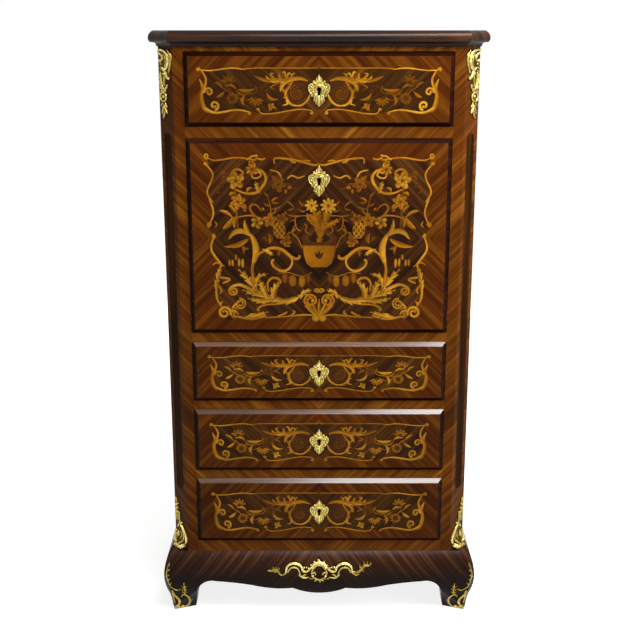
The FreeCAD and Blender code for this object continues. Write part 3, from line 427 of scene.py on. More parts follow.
class Marquetry:
    """The cut leaves of one panel, drawn on the left and cut twice for the two halves."""

    def __init__(self, reach=1.0, rise=1.0):
        self.points, self.faces, self.tone, self.shade = [], [], [], []
        self.reach, self.rise = reach, rise
        self.count = 0

    def cut(self, points, faces, tone, shades, both=True):
        """Lays one leaf over what lies there already."""
        lift = first_lift + leaf_lift * self.count
        drift = 0.06 * math.sin(2.4 * self.count)
        for side in (1, -1) if both else (1,):
            first = len(self.points)
            self.points += [(side * x * self.reach, lift, z * self.rise) for x, z in points]
            self.tone += [tone + drift] * len(points)
            self.shade += shades
            for face in faces:
                pairs = zip(face, face[1:] + face[:1])
                turn = sum(points[a][0] * points[b][1] - points[b][0] * points[a][1] for a, b in pairs)
                self.faces.append([first + i for i in (face if turn * side > 0 else face[::-1])])

    def strip(self, lines, tone, shades, both):
        """Band between lines of points that run side by side."""
        count = len(lines[0])
        points = [tuple(point) for line in lines for point in line]
        faces = []
        for row in range(0, (len(lines) - 1) * count, count):
            faces += [[i, i + 1, i + 1 + count, i + count] for i in range(row, row + count - 1)]
        self.cut(points, faces, tone, [shade for shade in shades for i in range(count)], both)

    def scroll(self, widths, drawn, tone=0.9, both=True):
        """Flowing band that swells and dies away."""
        self.count += 1
        sides = [(point, across * swelling(widths, share) / 2) for point, across, share in flowing(drawn)]
        lines = [[point + reach * k for point, reach in sides] for k in (1, 0, -1)]
        self.strip(lines, tone, (0.0, 0.3, 1.0), both)

    def branch(self, widths, drawn, tone=1.0, both=True):
        """Acanthus leaf: pairs of lobes that lap one another along a rib and curl outwards."""
        line = flowing(drawn)
        length = sum((b[0] - a[0]).length for a, b in zip(line, line[1:]))
        pairs = max(3, round(length / (1.1 * max(widths))))
        for pair in range(pairs + 1):
            point, across, share = line[round((len(line) - 1) * pair / pairs)]
            half = swelling(widths, share) / 2
            way = Vector((across.y, -across.x))
            for side in (1, -1):
                root = point - 1.1 * half * way
                tip = point + 1.2 * half * side * across + 1.9 * half * way
                self.leaf(*root, *tip, 1.8 * half, -0.18 * side, tone, both)
        self.scroll([0.3 * width for width in widths], drawn, tone, both)

    def volute(self, x, z, radius, start, turns, width, tone=0.9, both=True):
        """Curled end of a scroll, with its eye."""
        drawn = []
        for i in range(13):
            angle = math.radians(start + 30 * turns * i)
            reach = radius * (1 - 0.06 * i)
            drawn.append((x + reach * math.cos(angle), z + reach * math.sin(angle)))
        self.scroll((width, width, 0.7 * width), drawn, tone, both)
        self.disc(*drawn[-1], 0.75 * width, 0.75 * width, tone, both)

    def leaf(self, x0, z0, x1, z1, width, bend=0.0, tone=0.8, both=True):
        """Leaf of two halves, one lighter than the other."""
        self.count += 1
        start, end = Vector((x0, z0)), Vector((x1, z1))
        across = Vector((z0 - z1, x1 - x0))
        rib, left, right = [], [], []
        for i in range(11):
            share = i / 10
            point = start.lerp(end, share) + across * bend * 4 * share * (1 - share)
            reach = across.normalized() * width / 2 * math.sin(math.pi * share ** 0.8) ** 0.9
            rib.append(point)
            left.append(point + reach)
            right.append(point - reach)
        self.strip([left, rib], tone, (0.0, 0.3), both)
        self.strip([rib, right], tone, (0.75, 1.0), both)

    def fan(self, z, wide, tall, leans, width, tone):
        """Leaves that spread from one point of the middle line."""
        for lean in leans:
            angle = math.radians(lean)
            self.leaf(0, z, wide * math.sin(angle), z + tall * math.cos(angle), width, 0.0, tone, False)

    def disc(self, x, z, wide, tall, tone, both=True):
        """Fruit, eye or bead, light in the middle."""
        self.count += 1
        angles = [math.tau * i / 16 for i in range(16)]
        ring = [(x + wide * math.cos(angle), z + tall * math.sin(angle)) for angle in angles]
        self.cut(ring + [(x, z)], [[i, (i + 1) % 16, 16] for i in range(16)], tone, [0.8] * 16 + [0.0], both)

    def flower(self, x, z, radius, petals, tone, turn=0, eye=0.16, spread=360, both=True):
        """Lobed petals, dark at the throat, round a seed eye: a full ring, or a fan seen from the side.
        A large flower has a second ring of smaller petals."""
        rings = ((1.0, 0.0, 0.0), (0.6, 0.5, 0.08)) if radius > 14 else ((1.0, 0.0, 0.0),)
        for size, offset, lighter in rings:
            for petal in range(petals):
                self.count += 1
                middle = math.radians(turn + spread * (petal + offset) / petals)
                points = [(x + 0.1 * radius * math.cos(middle), z + 0.1 * radius * math.sin(middle))]
                for i in range(-4, 5):
                    angle = middle + i / 4 * 0.92 * math.radians(spread) / petals / 2
                    reach = size * radius * (0.58 + 0.42 * math.cos(math.pi / 2 * abs(i / 4) ** 1.3))
                    points.append((x + reach * math.cos(angle), z + reach * math.sin(angle)))
                shades = [1.0] + [0.1] * 5 + [0.8] * 4
                self.cut(points, [[0, i, i + 1] for i in range(1, 9)], tone + lighter, shades, both)
        self.disc(x, z, eye * radius, eye * radius, 0.3 * tone, both)

    def lay(self, name, foot_z, body):
        """Glues the leaves to their field, and keeps each one's wood and shading for the material."""
        points = [(x * MM, field_y - y * MM, foot_z + z * MM) for x, y, z in self.points]
        piece = inlay(name, points, self.faces, shaded_satinwood, body, thick_mm=leaf_thickness)
        for word, values in (("tone", self.tone), ("shade", self.shade)):
            piece.data.attributes.new(word, "FLOAT", "POINT").data.foreach_set("value", values)


def each(draw, rows, *more):
    """Draws every row of a table."""
    for row in rows:
        draw(*row, *more)


def strokes(rows):
    """Widths and points of a table's rows: three widths, then across and up for each point."""
    return [(row[:3], list(zip(row[3::2], row[4::2]))) for row in rows]


def flowing(drawn, steps=6):
    """Smooth line through drawn points: each point, the direction across it and its share of the way."""
    points = [Vector(point) for point in drawn]
    points = [2 * points[0] - points[1]] + points + [2 * points[-1] - points[-2]]
    line = []
    for a, b, c, d in zip(points, points[1:], points[2:], points[3:]):
        for t in (i / steps for i in range(steps)):
            bend = (2 * a - 5 * b + 4 * c - d) * t + (3 * b - a - 3 * c + d) * t * t
            line.append(b + 0.5 * t * (c - a + bend))
    line.append(points[-2])
    result = []
    for i, point in enumerate(line):
        way = line[min(i + 1, len(line) - 1)] - line[max(i - 1, 0)]
        result.append((point, Vector((-way.y, way.x)).normalized(), i / (len(line) - 1)))
    return result


def swelling(widths, share):
    """Width at a share of a stroke, from its first, middle and last width."""
    first, middle, last = widths
    ends = first * (1 - share) * (1 - 2 * share) + last * share * (2 * share - 1)
    return max(0.25, ends + 4 * middle * share * (1 - share))


def keyhole(radius, half, drop):
    """Round head over a slot, drawn from the foot of the slot round to its other side."""
    slot_turn = math.asin(half / radius)
    outline = [(half, -drop)]
    for i in range(17):
        angle = -math.pi / 2 + slot_turn + (math.tau - 2 * slot_turn) * i / 16
        outline.append((radius * math.cos(angle), radius * math.sin(angle)))
    return outline + [(-half, -drop)]


def key_place(name):
    """Height of a front's keyhole, behind its plate."""
    low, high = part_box(name + "_escutcheon")
    return low[2] + key_share * (high[2] - low[2])


def reserve(name, foot_z, reach, rise, outline, material, body):
    """Dark ground inside the border scrolls, from its left half drawn from the head down to the foot.
    The keyhole is sawn through it."""
    ring = list(outline) + [(-x, z) for x, z in outline[-2:0:-1]]
    rim = [(x * reach, foot_z + z * rise * MM) for x, z in ring]
    hole = [(x, key_place(body) + z * MM) for x, z in opening]
    faces = []
    for face in tessellate_polygon([[(x, z, 0) for x, z in loop] for loop in (rim, hole)]):
        (ax, az), (bx, bz), (cx, cz) = [(rim + hole)[i] for i in face]
        faces.append(face if (bx - ax) * (cz - az) > (cx - ax) * (bz - az) else face[::-1])
    points = [(x * MM, field_y - reserve_lift * MM, z) for x, z in rim + hole]
    inlay(name, points, faces, material, body)


# Satinwood runs from dark to golden leaf by leaf, faded in patches, and darkens to burnt brown where it was
# dipped in hot sand. Rosewood is a dark, quiet ground with broad bands.
reserve_lift = 0.05
key_share = 0.54
opening = keyhole(5.0, 3.1, 12.2)
shaded_satinwood, tree, shader = finish("shaded_satinwood", 0.36, 0.07)
flat = leaf_plane(tree, "XZ")
tone = add(tree, "Attribute", out="Fac", attribute_name="tone")
shade = add(tree, "Attribute", out="Fac", attribute_name="shade")
lines = streaks(tree, flat, 30, 26, 1.3)
patches = streaks(tree, flat, 0, 55, 55, 2.0)
woods = ((0.0, "#1A0B04"), (0.3, "#522C07"), (0.6, "#8B5308"), (0.85, "#B27310"), (1.0, "#D39828"))
colour = add(tree, "ValToRGB", {0: tone}, stops=woods)
faded = add(tree, "MapRange", {0: patches, 1: 0.32, 2: 0.68, 3: 0.62, 4: 1.22})
colour = add(tree, "Mix", {0: 1.0, 6: colour, 7: faded}, **multiplied)
scorched = add(tree, "ValToRGB", {0: shade}, stops=((0.25, "#000000"), (1.0, "#D6D6D6")))
colour = add(tree, "Mix", {0: scorched, 6: colour, 7: "#3E1E03"}, **in_colour)
fibres = add(tree, "ValToRGB", {0: lines}, stops=((0.38, "#A8A8A8"), (0.6, "#000000")))
colour = add(tree, "Mix", {0: fibres, 6: colour, 7: "#6A3C08"}, **in_colour)
bump = add(tree, "Bump", {"Height": lines, "Strength": 0.3, "Distance": 0.03 * MM})
fill(tree, shader, {"Base Color": colour, "Normal": bump})
drawer_rosewood = veneer("drawer_rosewood", ("#241205", "#3E2207", "#5C3912"), 45, band_mm=11, line_mm=1.8)
fall_rosewood = veneer("fall_rosewood", ("#1A0B04", "#381C08", "#5A3612"), -45, "XZ", fall_fold, 12, 2.0)

# Drawer marquetry: a scrolled border, sprigs of flowers, and an acanthus scroll round a roundel at the lock.
# One drawing serves all four drawers, fitted to each field; on the three lower ones the sprigs are paler.
drawing_height = 142.6
# Key to the tables. Scrolls: first, middle and last width, then points. Leaves: root, tip, width, bend, wood.
# Volutes: place, radius, start, turns, width. Flowers: place, radius, petals, wood, turn, eye, spread.
drawer_reserve = (
    (0, 117), (-113, 117), (-162, 115), (-191, 117), (-236, 112), (-250, 113), (-248, 93), (-259, 56),
    (-252, 31), (-228, 21), (-183, 27), (-144, 22), (-113, 19), (-74, 24), (-34, 29), (-11, 22), (0, 29),
)
border_scrolls = (
    (2, 3, 2, -262, 113, -236, 112, -191, 117, -162, 114),
    (2, 2, 2, -164, 115, -142, 117, -66, 117, -3, 117), (2, 5, 5, -257, 112, -248, 93, -253, 70),
    (1, 7, 6, -262, 94, -256, 78, -255, 64), (4, 9, 7, -253, 80, -259, 56, -253, 31, -243, 24),
    (7, 4, 2, -253, 31, -228, 21, -183, 27, -156, 23, -153, 18),
    (2, 3, 2, -136, 30, -125, 19, -97, 20, -50, 28, -21, 27, -14, 22),
)
acanthus_scrolls = (
    (3, 6, 3, -59, 88, -74, 64, -64, 41, -44, 35), (2, 5, 4, -58, 36, -40, 37, -26, 47, -19, 61),
    (5, 4, 2, -96, 93, -106, 104, -99, 106), (5, 4, 2, -70, 95, -76, 109, -80, 107),
    (4, 4, 1, -69, 99, -66, 106, -59, 102), (4, 4, 1, -76, 83, -81, 74, -74, 62),
    (4, 4, 1, -72, 49, -70, 41, -80, 37),
)
acanthus_body = (
    (3, 10, 4, -24, 90, -40, 95, -58, 94, -76, 91, -92, 92, -104, 96),
    (6, 8, 2, -62, 92, -74, 87, -83, 78, -85, 67), (5, 7, 1, -88, 91, -99, 89, -110, 93, -116, 101),
    (4, 6, 1, -80, 91, -86, 97, -87, 106),
)
acanthus_leaves = (
    (-104, 89, -142, 101, 8, 0.05, 0.62), (-98, 91, -112, 84, 5, -0.2, 0.85),
    (-60, 95, -52, 107, 5, 0.2, 0.9), (-70, 86, -88, 84, 6, -0.2, 0.9), (-64, 84, -78, 70, 6, 0.2, 0.8),
    (-70, 60, -80, 54, 5, 0.2, 0.85),
)
drawer_volutes = (
    (-242, 66, 9.5, 190, -1.05, 4.4), (-231, 37, 11, -80, 1.05, 5), (-264, 114, 4.5, 0, 1.2, 2.4),
    (-154, 20, 2.9, 60, -1, 2), (-134, 28, 3.3, 200, -1.1, 2), (-17, 21, 3.5, 40, -1.1, 2),
)
sprig_stems = (
    (1, 1.2, 1, -229, 87, -191, 62, -146, 63, -134, 72), (0.8, 1, 0.8, -191, 62, -166, 49, -150, 49),
)
sprig_leaves = (
    (-229, 88, -211, 72, 5, 0.12, 0.62), (-226, 54, -207, 68, 7, -0.1, 0.62),
    (-207, 79, -181, 71, 6.5, 0.2, 0.7), (-178, 72, -139, 74, 9, -0.14, 0.66),
    (-116, 64, -88, 51, 7.7, -0.25, 0.62), (-163, 59, -164, 36, 7.7, -0.3, 0.72),
    (-183, 71, -158, 59, 4, -0.15, 0.5), (-209, 74, -195, 59, 4, 0.1, 0.35),
    (-134, 72, -138, 83, 4.5, 0.2, 0.45), (-117, 72, -93, 66, 5, 0.2, 0.3),
    (-146, 56, -156, 50, 5, 0.2, 0.5), (-112, 41, -111, 24, 5, 0.15, 0.8),
    (-107, 41, -93, 31, 6, -0.15, 0.85),
)
sprig_flowers = (
    (-199, 86, 17, 5, 0.44, 18, 0.25, 180), (-191, 52, 13, 12, 0.5, 0, 0.5, 360),
    (-121, 74, 14, 7, 0.06, 10, 0.2, 360), (-139, 52, 17, 7, 0.52, 190, 0.2, 180),
    (-108, 36, 10, 3, 0.85, -70, 0.1, 150),
)
roundel = (-47, 64, 23)
bead_start, bead_step, bead_radius = (-105, 77), (4.7, 2.7), 1.9
for name in drawers:
    low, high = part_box(name + "_front")
    foot_z = low[2] + proud
    rise = (high[2] - low[2] - 2 * proud) / MM / drawing_height
    reach, lighter = (1.0, -0.04) if name == "frieze_drawer" else (0.975, 0.3)
    reserve(name + "_reserve", foot_z, reach, rise, drawer_reserve, drawer_rosewood, name)
    work = Marquetry(reach, rise)
    x, z, radius = roundel
    work.disc(x, z, radius, radius, 0.04)
    for ring in (0.3, 0.55, 0.8):
        work.volute(x, z, ring * radius, 130 * ring, 1.05, 1.5, 0.42)
    each(work.scroll, strokes(sprig_stems), 0.55 + lighter)
    for *row, tone in sprig_leaves:
        work.leaf(*row, tone + lighter)
    for x, z, radius, petals, tone, *row in sprig_flowers:
        work.flower(x, z, radius, petals, tone + lighter, *row)
    each(work.scroll, strokes(border_scrolls + acanthus_scrolls + acanthus_body))
    each(work.leaf, acanthus_leaves)
    each(work.volute, drawer_volutes)
    for bead in range(4):
        x, z = (start + step * bead for start, step in zip(bead_start, bead_step))
        work.disc(x, z, bead_radius, bead_radius, 0.8)
    work.lay(name + "_marquetry", foot_z, name)

# Fall marquetry: a vase of flowers in a scrolled frame, acanthus branches, garlands and netted grapes.
# The branches, leaves and fruit are cut for one half and turned over for the other; the vase is cut once.
fall_reserve = (
    (0, 383), (-28, 382), (-60, 391), (-96, 394), (-140, 392), (-180, 396), (-206, 392), (-249, 392),
    (-239, 356), (-250, 324), (-241, 297), (-239, 274), (-248, 245), (-240, 222), (-246, 200), (-237, 167),
    (-225, 152), (-233, 125), (-237, 93), (-227, 51), (-215, 24), (-153, 25), (-79, 31), (-35, 34), (0, 22),
)
frame_scrolls = (
    (2, 4, 3, -251, 398, -232, 391, -185, 397, -140, 392), (3, 4, 4, -161, 392, -150, 400, -137, 402),
    (3, 4, 2, -142, 397, -129, 393, -120, 396), (3, 5, 3, -100, 384, -96, 396, -52, 391, -13, 381, 1, 383),
    (2, 4, 2, -67, 396, -60, 388, -52, 386), (2, 4, 2, -39, 388, -29, 391, -19, 389),
    (3, 4, 3, -253, 383, -238, 358, -252, 321, -240, 297), (3, 4, 3, -248, 306, -239, 274, -249, 244),
    (1, 3, 1, -236, 254, -232, 246, -237, 240), (3, 5, 6, -238, 222, -246, 189, -223, 152),
    (2, 4, 2, -243, 153, -233, 158, -216, 149), (3, 6, 3, -223, 156, -230, 134, -237, 82, -227, 55),
    (4, 6, 3, -228, 124, -206, 119, -222, 110), (4, 6, 2, -234, 107, -226, 95, -228, 85),
    (3, 5, 3, -197, 33, -198, 54, -178, 71), (3, 6, 4, -197, 32, -158, 25, -123, 32),
    (2, 7, 2, -149, 27, -140, 36, -129, 40), (2, 6, 2, -167, 27, -158, 35, -146, 37),
    (3, 3, 3, -124, 28, -70, 32, -57, 44), (2, 4, 4, -96, 32, -83, 36, -74, 42),
    (3, 4, 4, -63, 32, -35, 35, -12, 33), (5, 8, 4, -4, 32, -17, 47, -36, 69),
)
branch_scrolls = (
    (9, 7, 5, -138, 85, -169, 102, -185, 107, -201, 102, -209, 92),
    (3, 6, 4, -116, 90, -118, 110, -108, 122, -94, 120, -89, 112, -95, 109),
    (2, 5, 3, -61, 69, -87, 62, -118, 60, -134, 56, -143, 48, -138, 44),
    (3, 4, 2, -38, 84, -26, 82, -19, 77), (9, 7, 6, -144, 90, -149, 110, -153, 140, -150, 162),
    (8, 15, 4, -150, 158, -144, 180, -146, 204, -157, 227),
    (4, 12, 2, -153, 220, -172, 231, -191, 229, -206, 213),
    (3, 8, 4, -146, 166, -134, 180, -116, 190, -99, 192, -83, 187, -67, 174, -54, 167, -45, 170, -45, 176),
    (3, 6, 4, -71, 178, -62, 164, -65, 150, -75, 141, -89, 140, -103, 149, -108, 160, -103, 166),
    (1, 2, 1, -96, 133, -70, 135, -39, 126, -16, 136),
    (3, 7, 4, -187, 326, -169, 318, -148, 317, -134, 324, -122, 340, -119, 354, -128, 368, -142, 371),
    (3, 4, 3, -152, 360, -148, 352, -138, 352, -130, 358, -134, 366, -141, 363),
    (3, 5, 3, -197, 350, -195, 364, -185, 371, -174, 368, -171, 360, -178, 360),
    (2, 4, 3, -110, 370, -93, 365, -85, 354), (3, 4, 2, -71, 350, -61, 357, -46, 352, -32, 357),
    (2, 3, 2, -75, 30, -62, 34, -56, 42, -61, 46),
)
acanthus_branches = (
    (5, 15, 11, -30, 91, -46, 78, -71, 68, -97, 70, -122, 78, -146, 89),
    (10, 14, 3, -106, 74, -104, 92, -95, 111), (9, 13, 3, -121, 79, -128, 96, -136, 114),
    (9, 12, 3, -110, 70, -134, 68, -162, 74), (8, 12, 3, -130, 81, -150, 86, -173, 93),
    (4, 10, 3, -46, 78, -34, 89, -21, 93), (7, 15, 3, -148, 96, -162, 118, -183, 141),
    (6, 10, 2, -145, 103, -139, 124, -120, 132), (4, 11, 3, -170, 30, -146, 31, -121, 41),
    (4, 9, 2, -128, 189, -118, 184, -106, 177), (3, 9, 2, -134, 319, -138, 329, -142, 342),
    (5, 11, 4, -236, 88, -236, 105, -232, 128, -225, 148),
)
twig_scrolls = (
    (2, 4, 4, -190, 258, -180, 264, -156, 267, -134, 261, -117, 252),
    (2, 2, 1, -111, 258, -109, 280, -116, 311), (1, 2, 1, -109, 281, -97, 283, -87, 288),
    (1, 2, 1, -111, 267, -100, 276, -97, 286),
    (4, 5, 2, -130, 258, -146, 268, -156, 283, -150, 292, -139, 289, -130, 277),
    (2, 3, 2, -25, 267, -52, 264, -52, 240, -42, 231), (2, 3, 2, -56, 245, -61, 227, -49, 215, -39, 193),
    (1, 3, 1, -35, 249, -28, 242, -31, 231, -17, 222),
)
dark_stem = (5, 5, 3, -190, 334, -188, 300, -186, 262, -184, 228)
fall_volutes = (
    (-251, 401, 6, -60, -1.2, 3), (-253, 384, 4.4, 120, 1, 3), (-248, 246, 6, -90, -1.1, 3),
    (-238, 220, 5, 90, 1, 3), (-219, 40, 16, -20, 1.4, 6), (-182, 61, 13, 100, -1.6, 4),
    (-19, 69, 15, 180, -1.5, 5), (-197, 92, 11, 170, 1.3, 4.5), (-5, 92, 5.7, 200, -1.2, 3),
)
fall_leaves = (
    (-226, 278, -196, 262, 8, 0.12, 0.85), (-219, 236, -194, 266, 12, -0.1, 0.8),
    (-205, 291, -189, 272, 7, 0.1, 0.85), (-191, 238, -187, 268, 8, 0.1, 0.7),
    (-178, 291, -164, 281, 9, 0.2, 0.8), (-172, 294, -166, 281, 8, -0.2, 0.75),
    (-202, 312, -189, 318, 8, 0.2, 0.75), (-170, 304, -180, 318, 8, 0.2, 0.8),
    (-163, 320, -150, 330, 7, 0.2, 0.8), (-157, 225, -168, 259, 9, 0.12, 0.95),
    (-160, 214, -217, 196, 12, 0.1, 0.85), (-177, 200, -172, 178, 7, 0.1, 0.6),
    (-223, 357, -206, 359, 10, 0.3, 0.5), (-219, 348, -207, 356, 5, 0.2, 0.5),
    (-69, 200, -76, 222, 11, 0.2, 0.6), (-113, 202, -116, 227, 11, -0.2, 0.6),
    (-65, 196, -82, 214, 9, 0.2, 0.7), (-75, 219, -61, 230, 6, 0.1, 0.6),
    (-96, 340, -106, 346, 6, 0.1, 0.5), (-92, 351, -108, 358, 7, 0.1, 0.5),
    (-86, 330, -91, 319, 8, 0.1, 0.6), (-72, 329, -60, 329, 9, 0.1, 0.65), (-76, 327, -75, 316, 7, 0, 0.7),
    (-164, 276, -171, 285, 6, 0.1, 0.7), (-130, 285, -124, 277, 5, 0.1, 0.7),
    (-28, 279, -47, 282, 5, 0.2, 0.55), (-35, 267, -74, 269, 4, 0.05, 0.6),
    (-73, 270, -76, 279, 4, 0.1, 0.6), (-4, 254, -17, 267, 6, 0.1, 0.6), (-204, 42, -186, 34, 8, 0.2, 0.85),
    (-203, 48, -187, 46, 6, 0.2, 0.8), (-205, 34, -190, 27, 5, -0.1, 0.8),
    (-226, 54, -221, 68, 6, 0.2, 0.85),
)
twig_leaves = (
    (-118, 337, -97, 337, 6, 0.2, 0.34), (-100, 338, -79, 332, 6, -0.2, 0.28),
    (-82, 334, -61, 334, 6, 0.2, 0.34), (-64, 335, -43, 329, 5, -0.2, 0.28),
    (-108, 298, -91, 308, 5, 0.1, 0.68), (-108, 298, -89, 296, 5, -0.1, 0.6),
    (-113, 311, -124, 322, 5, 0.1, 0.5), (-111, 289, -125, 296, 5, 0.1, 0.5),
    (-76, 300, -56, 284, 5, 0.1, 0.62), (-57, 284, -73, 280, 4, 0.1, 0.5),
    (-46, 301, -32, 288, 5, -0.1, 0.55), (-52, 262, -67, 254, 4, 0.1, 0.5),
    (-60, 228, -48, 238, 5, 0.1, 0.55), (-92, 190, -93, 172, 8, 0, 0.5),
    (-128, 218, -120, 206, 5, 0.2, 0.4), (-222, 318, -232, 330, 5, 0.2, 0.3),
    (-215, 330, -226, 338, 5, -0.2, 0.3), (-160, 190, -172, 196, 5, 0.1, 0.55),
)
fall_flowers = (
    (-187, 346, 20, 5, 0.92, 100), (-183, 298, 18, 6, 0.8, 20), (-150, 371, 14, 7, 0.85, 10),
    (-151, 385, 8, 5, 0.8, 0), (-91, 338, 17, 5, 0.5, 60), (-141, 251, 14, 5, 0.9, 0),
    (-111, 256, 17, 5, 0.66, 20), (-84, 260, 13, 5, 0.56, 0), (-76, 209, 14, 5, 0.62, -90),
)
grapes = (-90, 233, 14, 19, 0.5)
fruit = (
    (-79, 122, 6.5, 12, 0.5), (-61, 116, 8.7, 13.5, 0.75), (-39, 115, 7.8, 14.4, 0.8),
    (-25, 122, 5, 11, 0.5), (-205, 158, 2.6, 8, 0.85), (-198, 158, 2.6, 8, 0.85), (-190, 171, 3, 7, 0.8),
    (-183, 159, 3, 10, 0.9), (-175, 157, 3.5, 11, 0.9),
)
vase_body = ((-37, 198), (-35, 178), (-29, 157), (-18, 148), (18, 148), (29, 157), (35, 178), (38, 198))
vase_rim = ((-39, 199), (41, 199), (39, 206), (-37, 206))
vase_stems = (
    (12, 26, 14, 0, 204, 3, 228, -3, 252, -13, 280), (8, 18, 8, 5, 220, 13, 248, 20, 280),
    (4, 11, 3, 8, 234, 26, 246, 47, 259), (4, 9, 3, -4, 238, -20, 256, -27, 270),
)
vase_flowers = ((-17, 290, 15, 8, 0.95, 0), (21, 289, 18, 9, 1, 12))
foot_fan = (29, 46, 46, (-50, -25, 0, 25, 50), 7, 0.85)
vase_emblem = (167, 15, 21, (-40, 0, 40), 7, 0.05)
foot_fruit = (-8, 27, 8.5, 8, 0.9)
net_widths = (1.6, 1.8, 1.6)
fall_foot_z = fall_low[2] + proud
reserve("fall_reserve", fall_foot_z, 1.0, 1.0, fall_reserve, fall_rosewood, "fall")
work = Marquetry()
each(work.scroll, strokes((dark_stem,)), 0.36)
each(work.scroll, strokes(frame_scrolls + branch_scrolls))
each(work.branch, strokes(acanthus_branches))
each(work.scroll, strokes(twig_scrolls), 0.7)
each(work.volute, fall_volutes)
each(work.leaf, fall_leaves + twig_leaves)
each(work.flower, fall_flowers)
each(work.disc, fruit + (grapes,))
x, z, wide, tall, tone = grapes
for shift in (-0.8, -0.27, 0.27, 0.8):
    for lean in (-1, 1):
        span = math.sqrt(1 - shift * shift) * 0.72
        middle = Vector((x + 0.7 * shift * wide, z + 0.7 * shift * tall * lean))
        reach = Vector((wide, -lean * tall)) * span
        work.scroll(net_widths, (middle - reach, middle, middle + reach), 0.95)
work.fan(*foot_fan)
work.disc(*foot_fruit)
each(work.branch, strokes(vase_stems), 0.7, False)
for outline, tone in ((vase_body, 0.74), (vase_rim, 0.08)):
    shades = [0.2 + 0.6 * (x > 0) for x, z in outline]
    work.count += 1
    work.cut(outline, [list(range(len(outline)))], tone, shades, False)
work.fan(*vase_emblem)
each(work.flower, vase_flowers, 0.16, 360, False)
work.lay("fall_marquetry", fall_foot_z, "fall")

# Writing surface: calf skin glued into a shallow recess of the fall's inner face.
# A wide and a fine line of gold leaf are pressed into it with a hot wheel, close to its edge.
# The hide shows a net of small creases and is worn paler in soft patches.
grain_mm = 1.3
gold_lines = ((9.0, 3.0), (15.0, 1.2))
gold_lift = 0.08
calf_leather, tree, shader = finish("calf_leather", 0.46, 0.4)
flat = leaf_plane(tree, "XZ")
scaled = add(tree, "Mapping", {"Vector": flat, "Scale": (grain_mm * MM,) * 3}, vector_type="TEXTURE")
creases = add(tree, "TexVoronoi", {"Vector": scaled, "Scale": 1.0}, feature="DISTANCE_TO_EDGE")
wear = streaks(tree, flat, 0, 70, 50, 4.0)
hide = add(tree, "ValToRGB", {0: wear}, stops=((0.3, "#1E3326"), (0.55, "#2C4A36"), (0.75, "#3F5F44")))
furrow = add(tree, "ValToRGB", {0: creases}, stops=((0.0, "#A0A0A0"), (0.12, "#000000")))
hide = add(tree, "Mix", {0: furrow, 6: hide, 7: "#16261C"}, **in_colour)
bump = add(tree, "Bump", {"Height": creases, "Strength": 0.5, "Distance": 0.15 * MM})
fill(tree, shader, {"Base Color": hide, "Normal": bump})
dress(calf_leather, "writing_leather")
gold_leaf = worn_metal("gold_leaf", "#8A6420", "#D2A648", 3, 0.35)
low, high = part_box("writing_leather")
for inset, width in gold_lines:
    rims = []
    for edge in (inset * MM, (inset + width) * MM):
        rims += ring_of(low, high, edge, high[1] + gold_lift * MM)[::-1]
    inlay("gold_line_" + str(round(inset)), rims, between(4, 2), gold_leaf, "fall", 0.2)

# Locks and pivots: brass cases screwed to the inside of each front, with a steel bolt that shoots up.
# The fall turns on brass pins in plates let into the corner posts. Steel is filed bright, greyer in patches.
bright_steel = worn_metal("bright_steel", "#6E6C68", "#B4B2AC", 4, 0.34)
for name in fronts:
    dress(lock_brass, name + "_lock")
    dress(bright_steel, name + "_bolt")
dress(lock_brass, "pivot_plates", "fall_pivots")

# Keyhole plates: bronze cast with scrolls round a shell, chased and gilt, one nailed over each keyhole.
# Gilding is bright on the crests that polish reaches and olive brown in the hollows.
# Behind each plate a near-black sheet lines the keyhole, a painted shade in the hole.
sunk = 0.8
saw_reach = 9.0


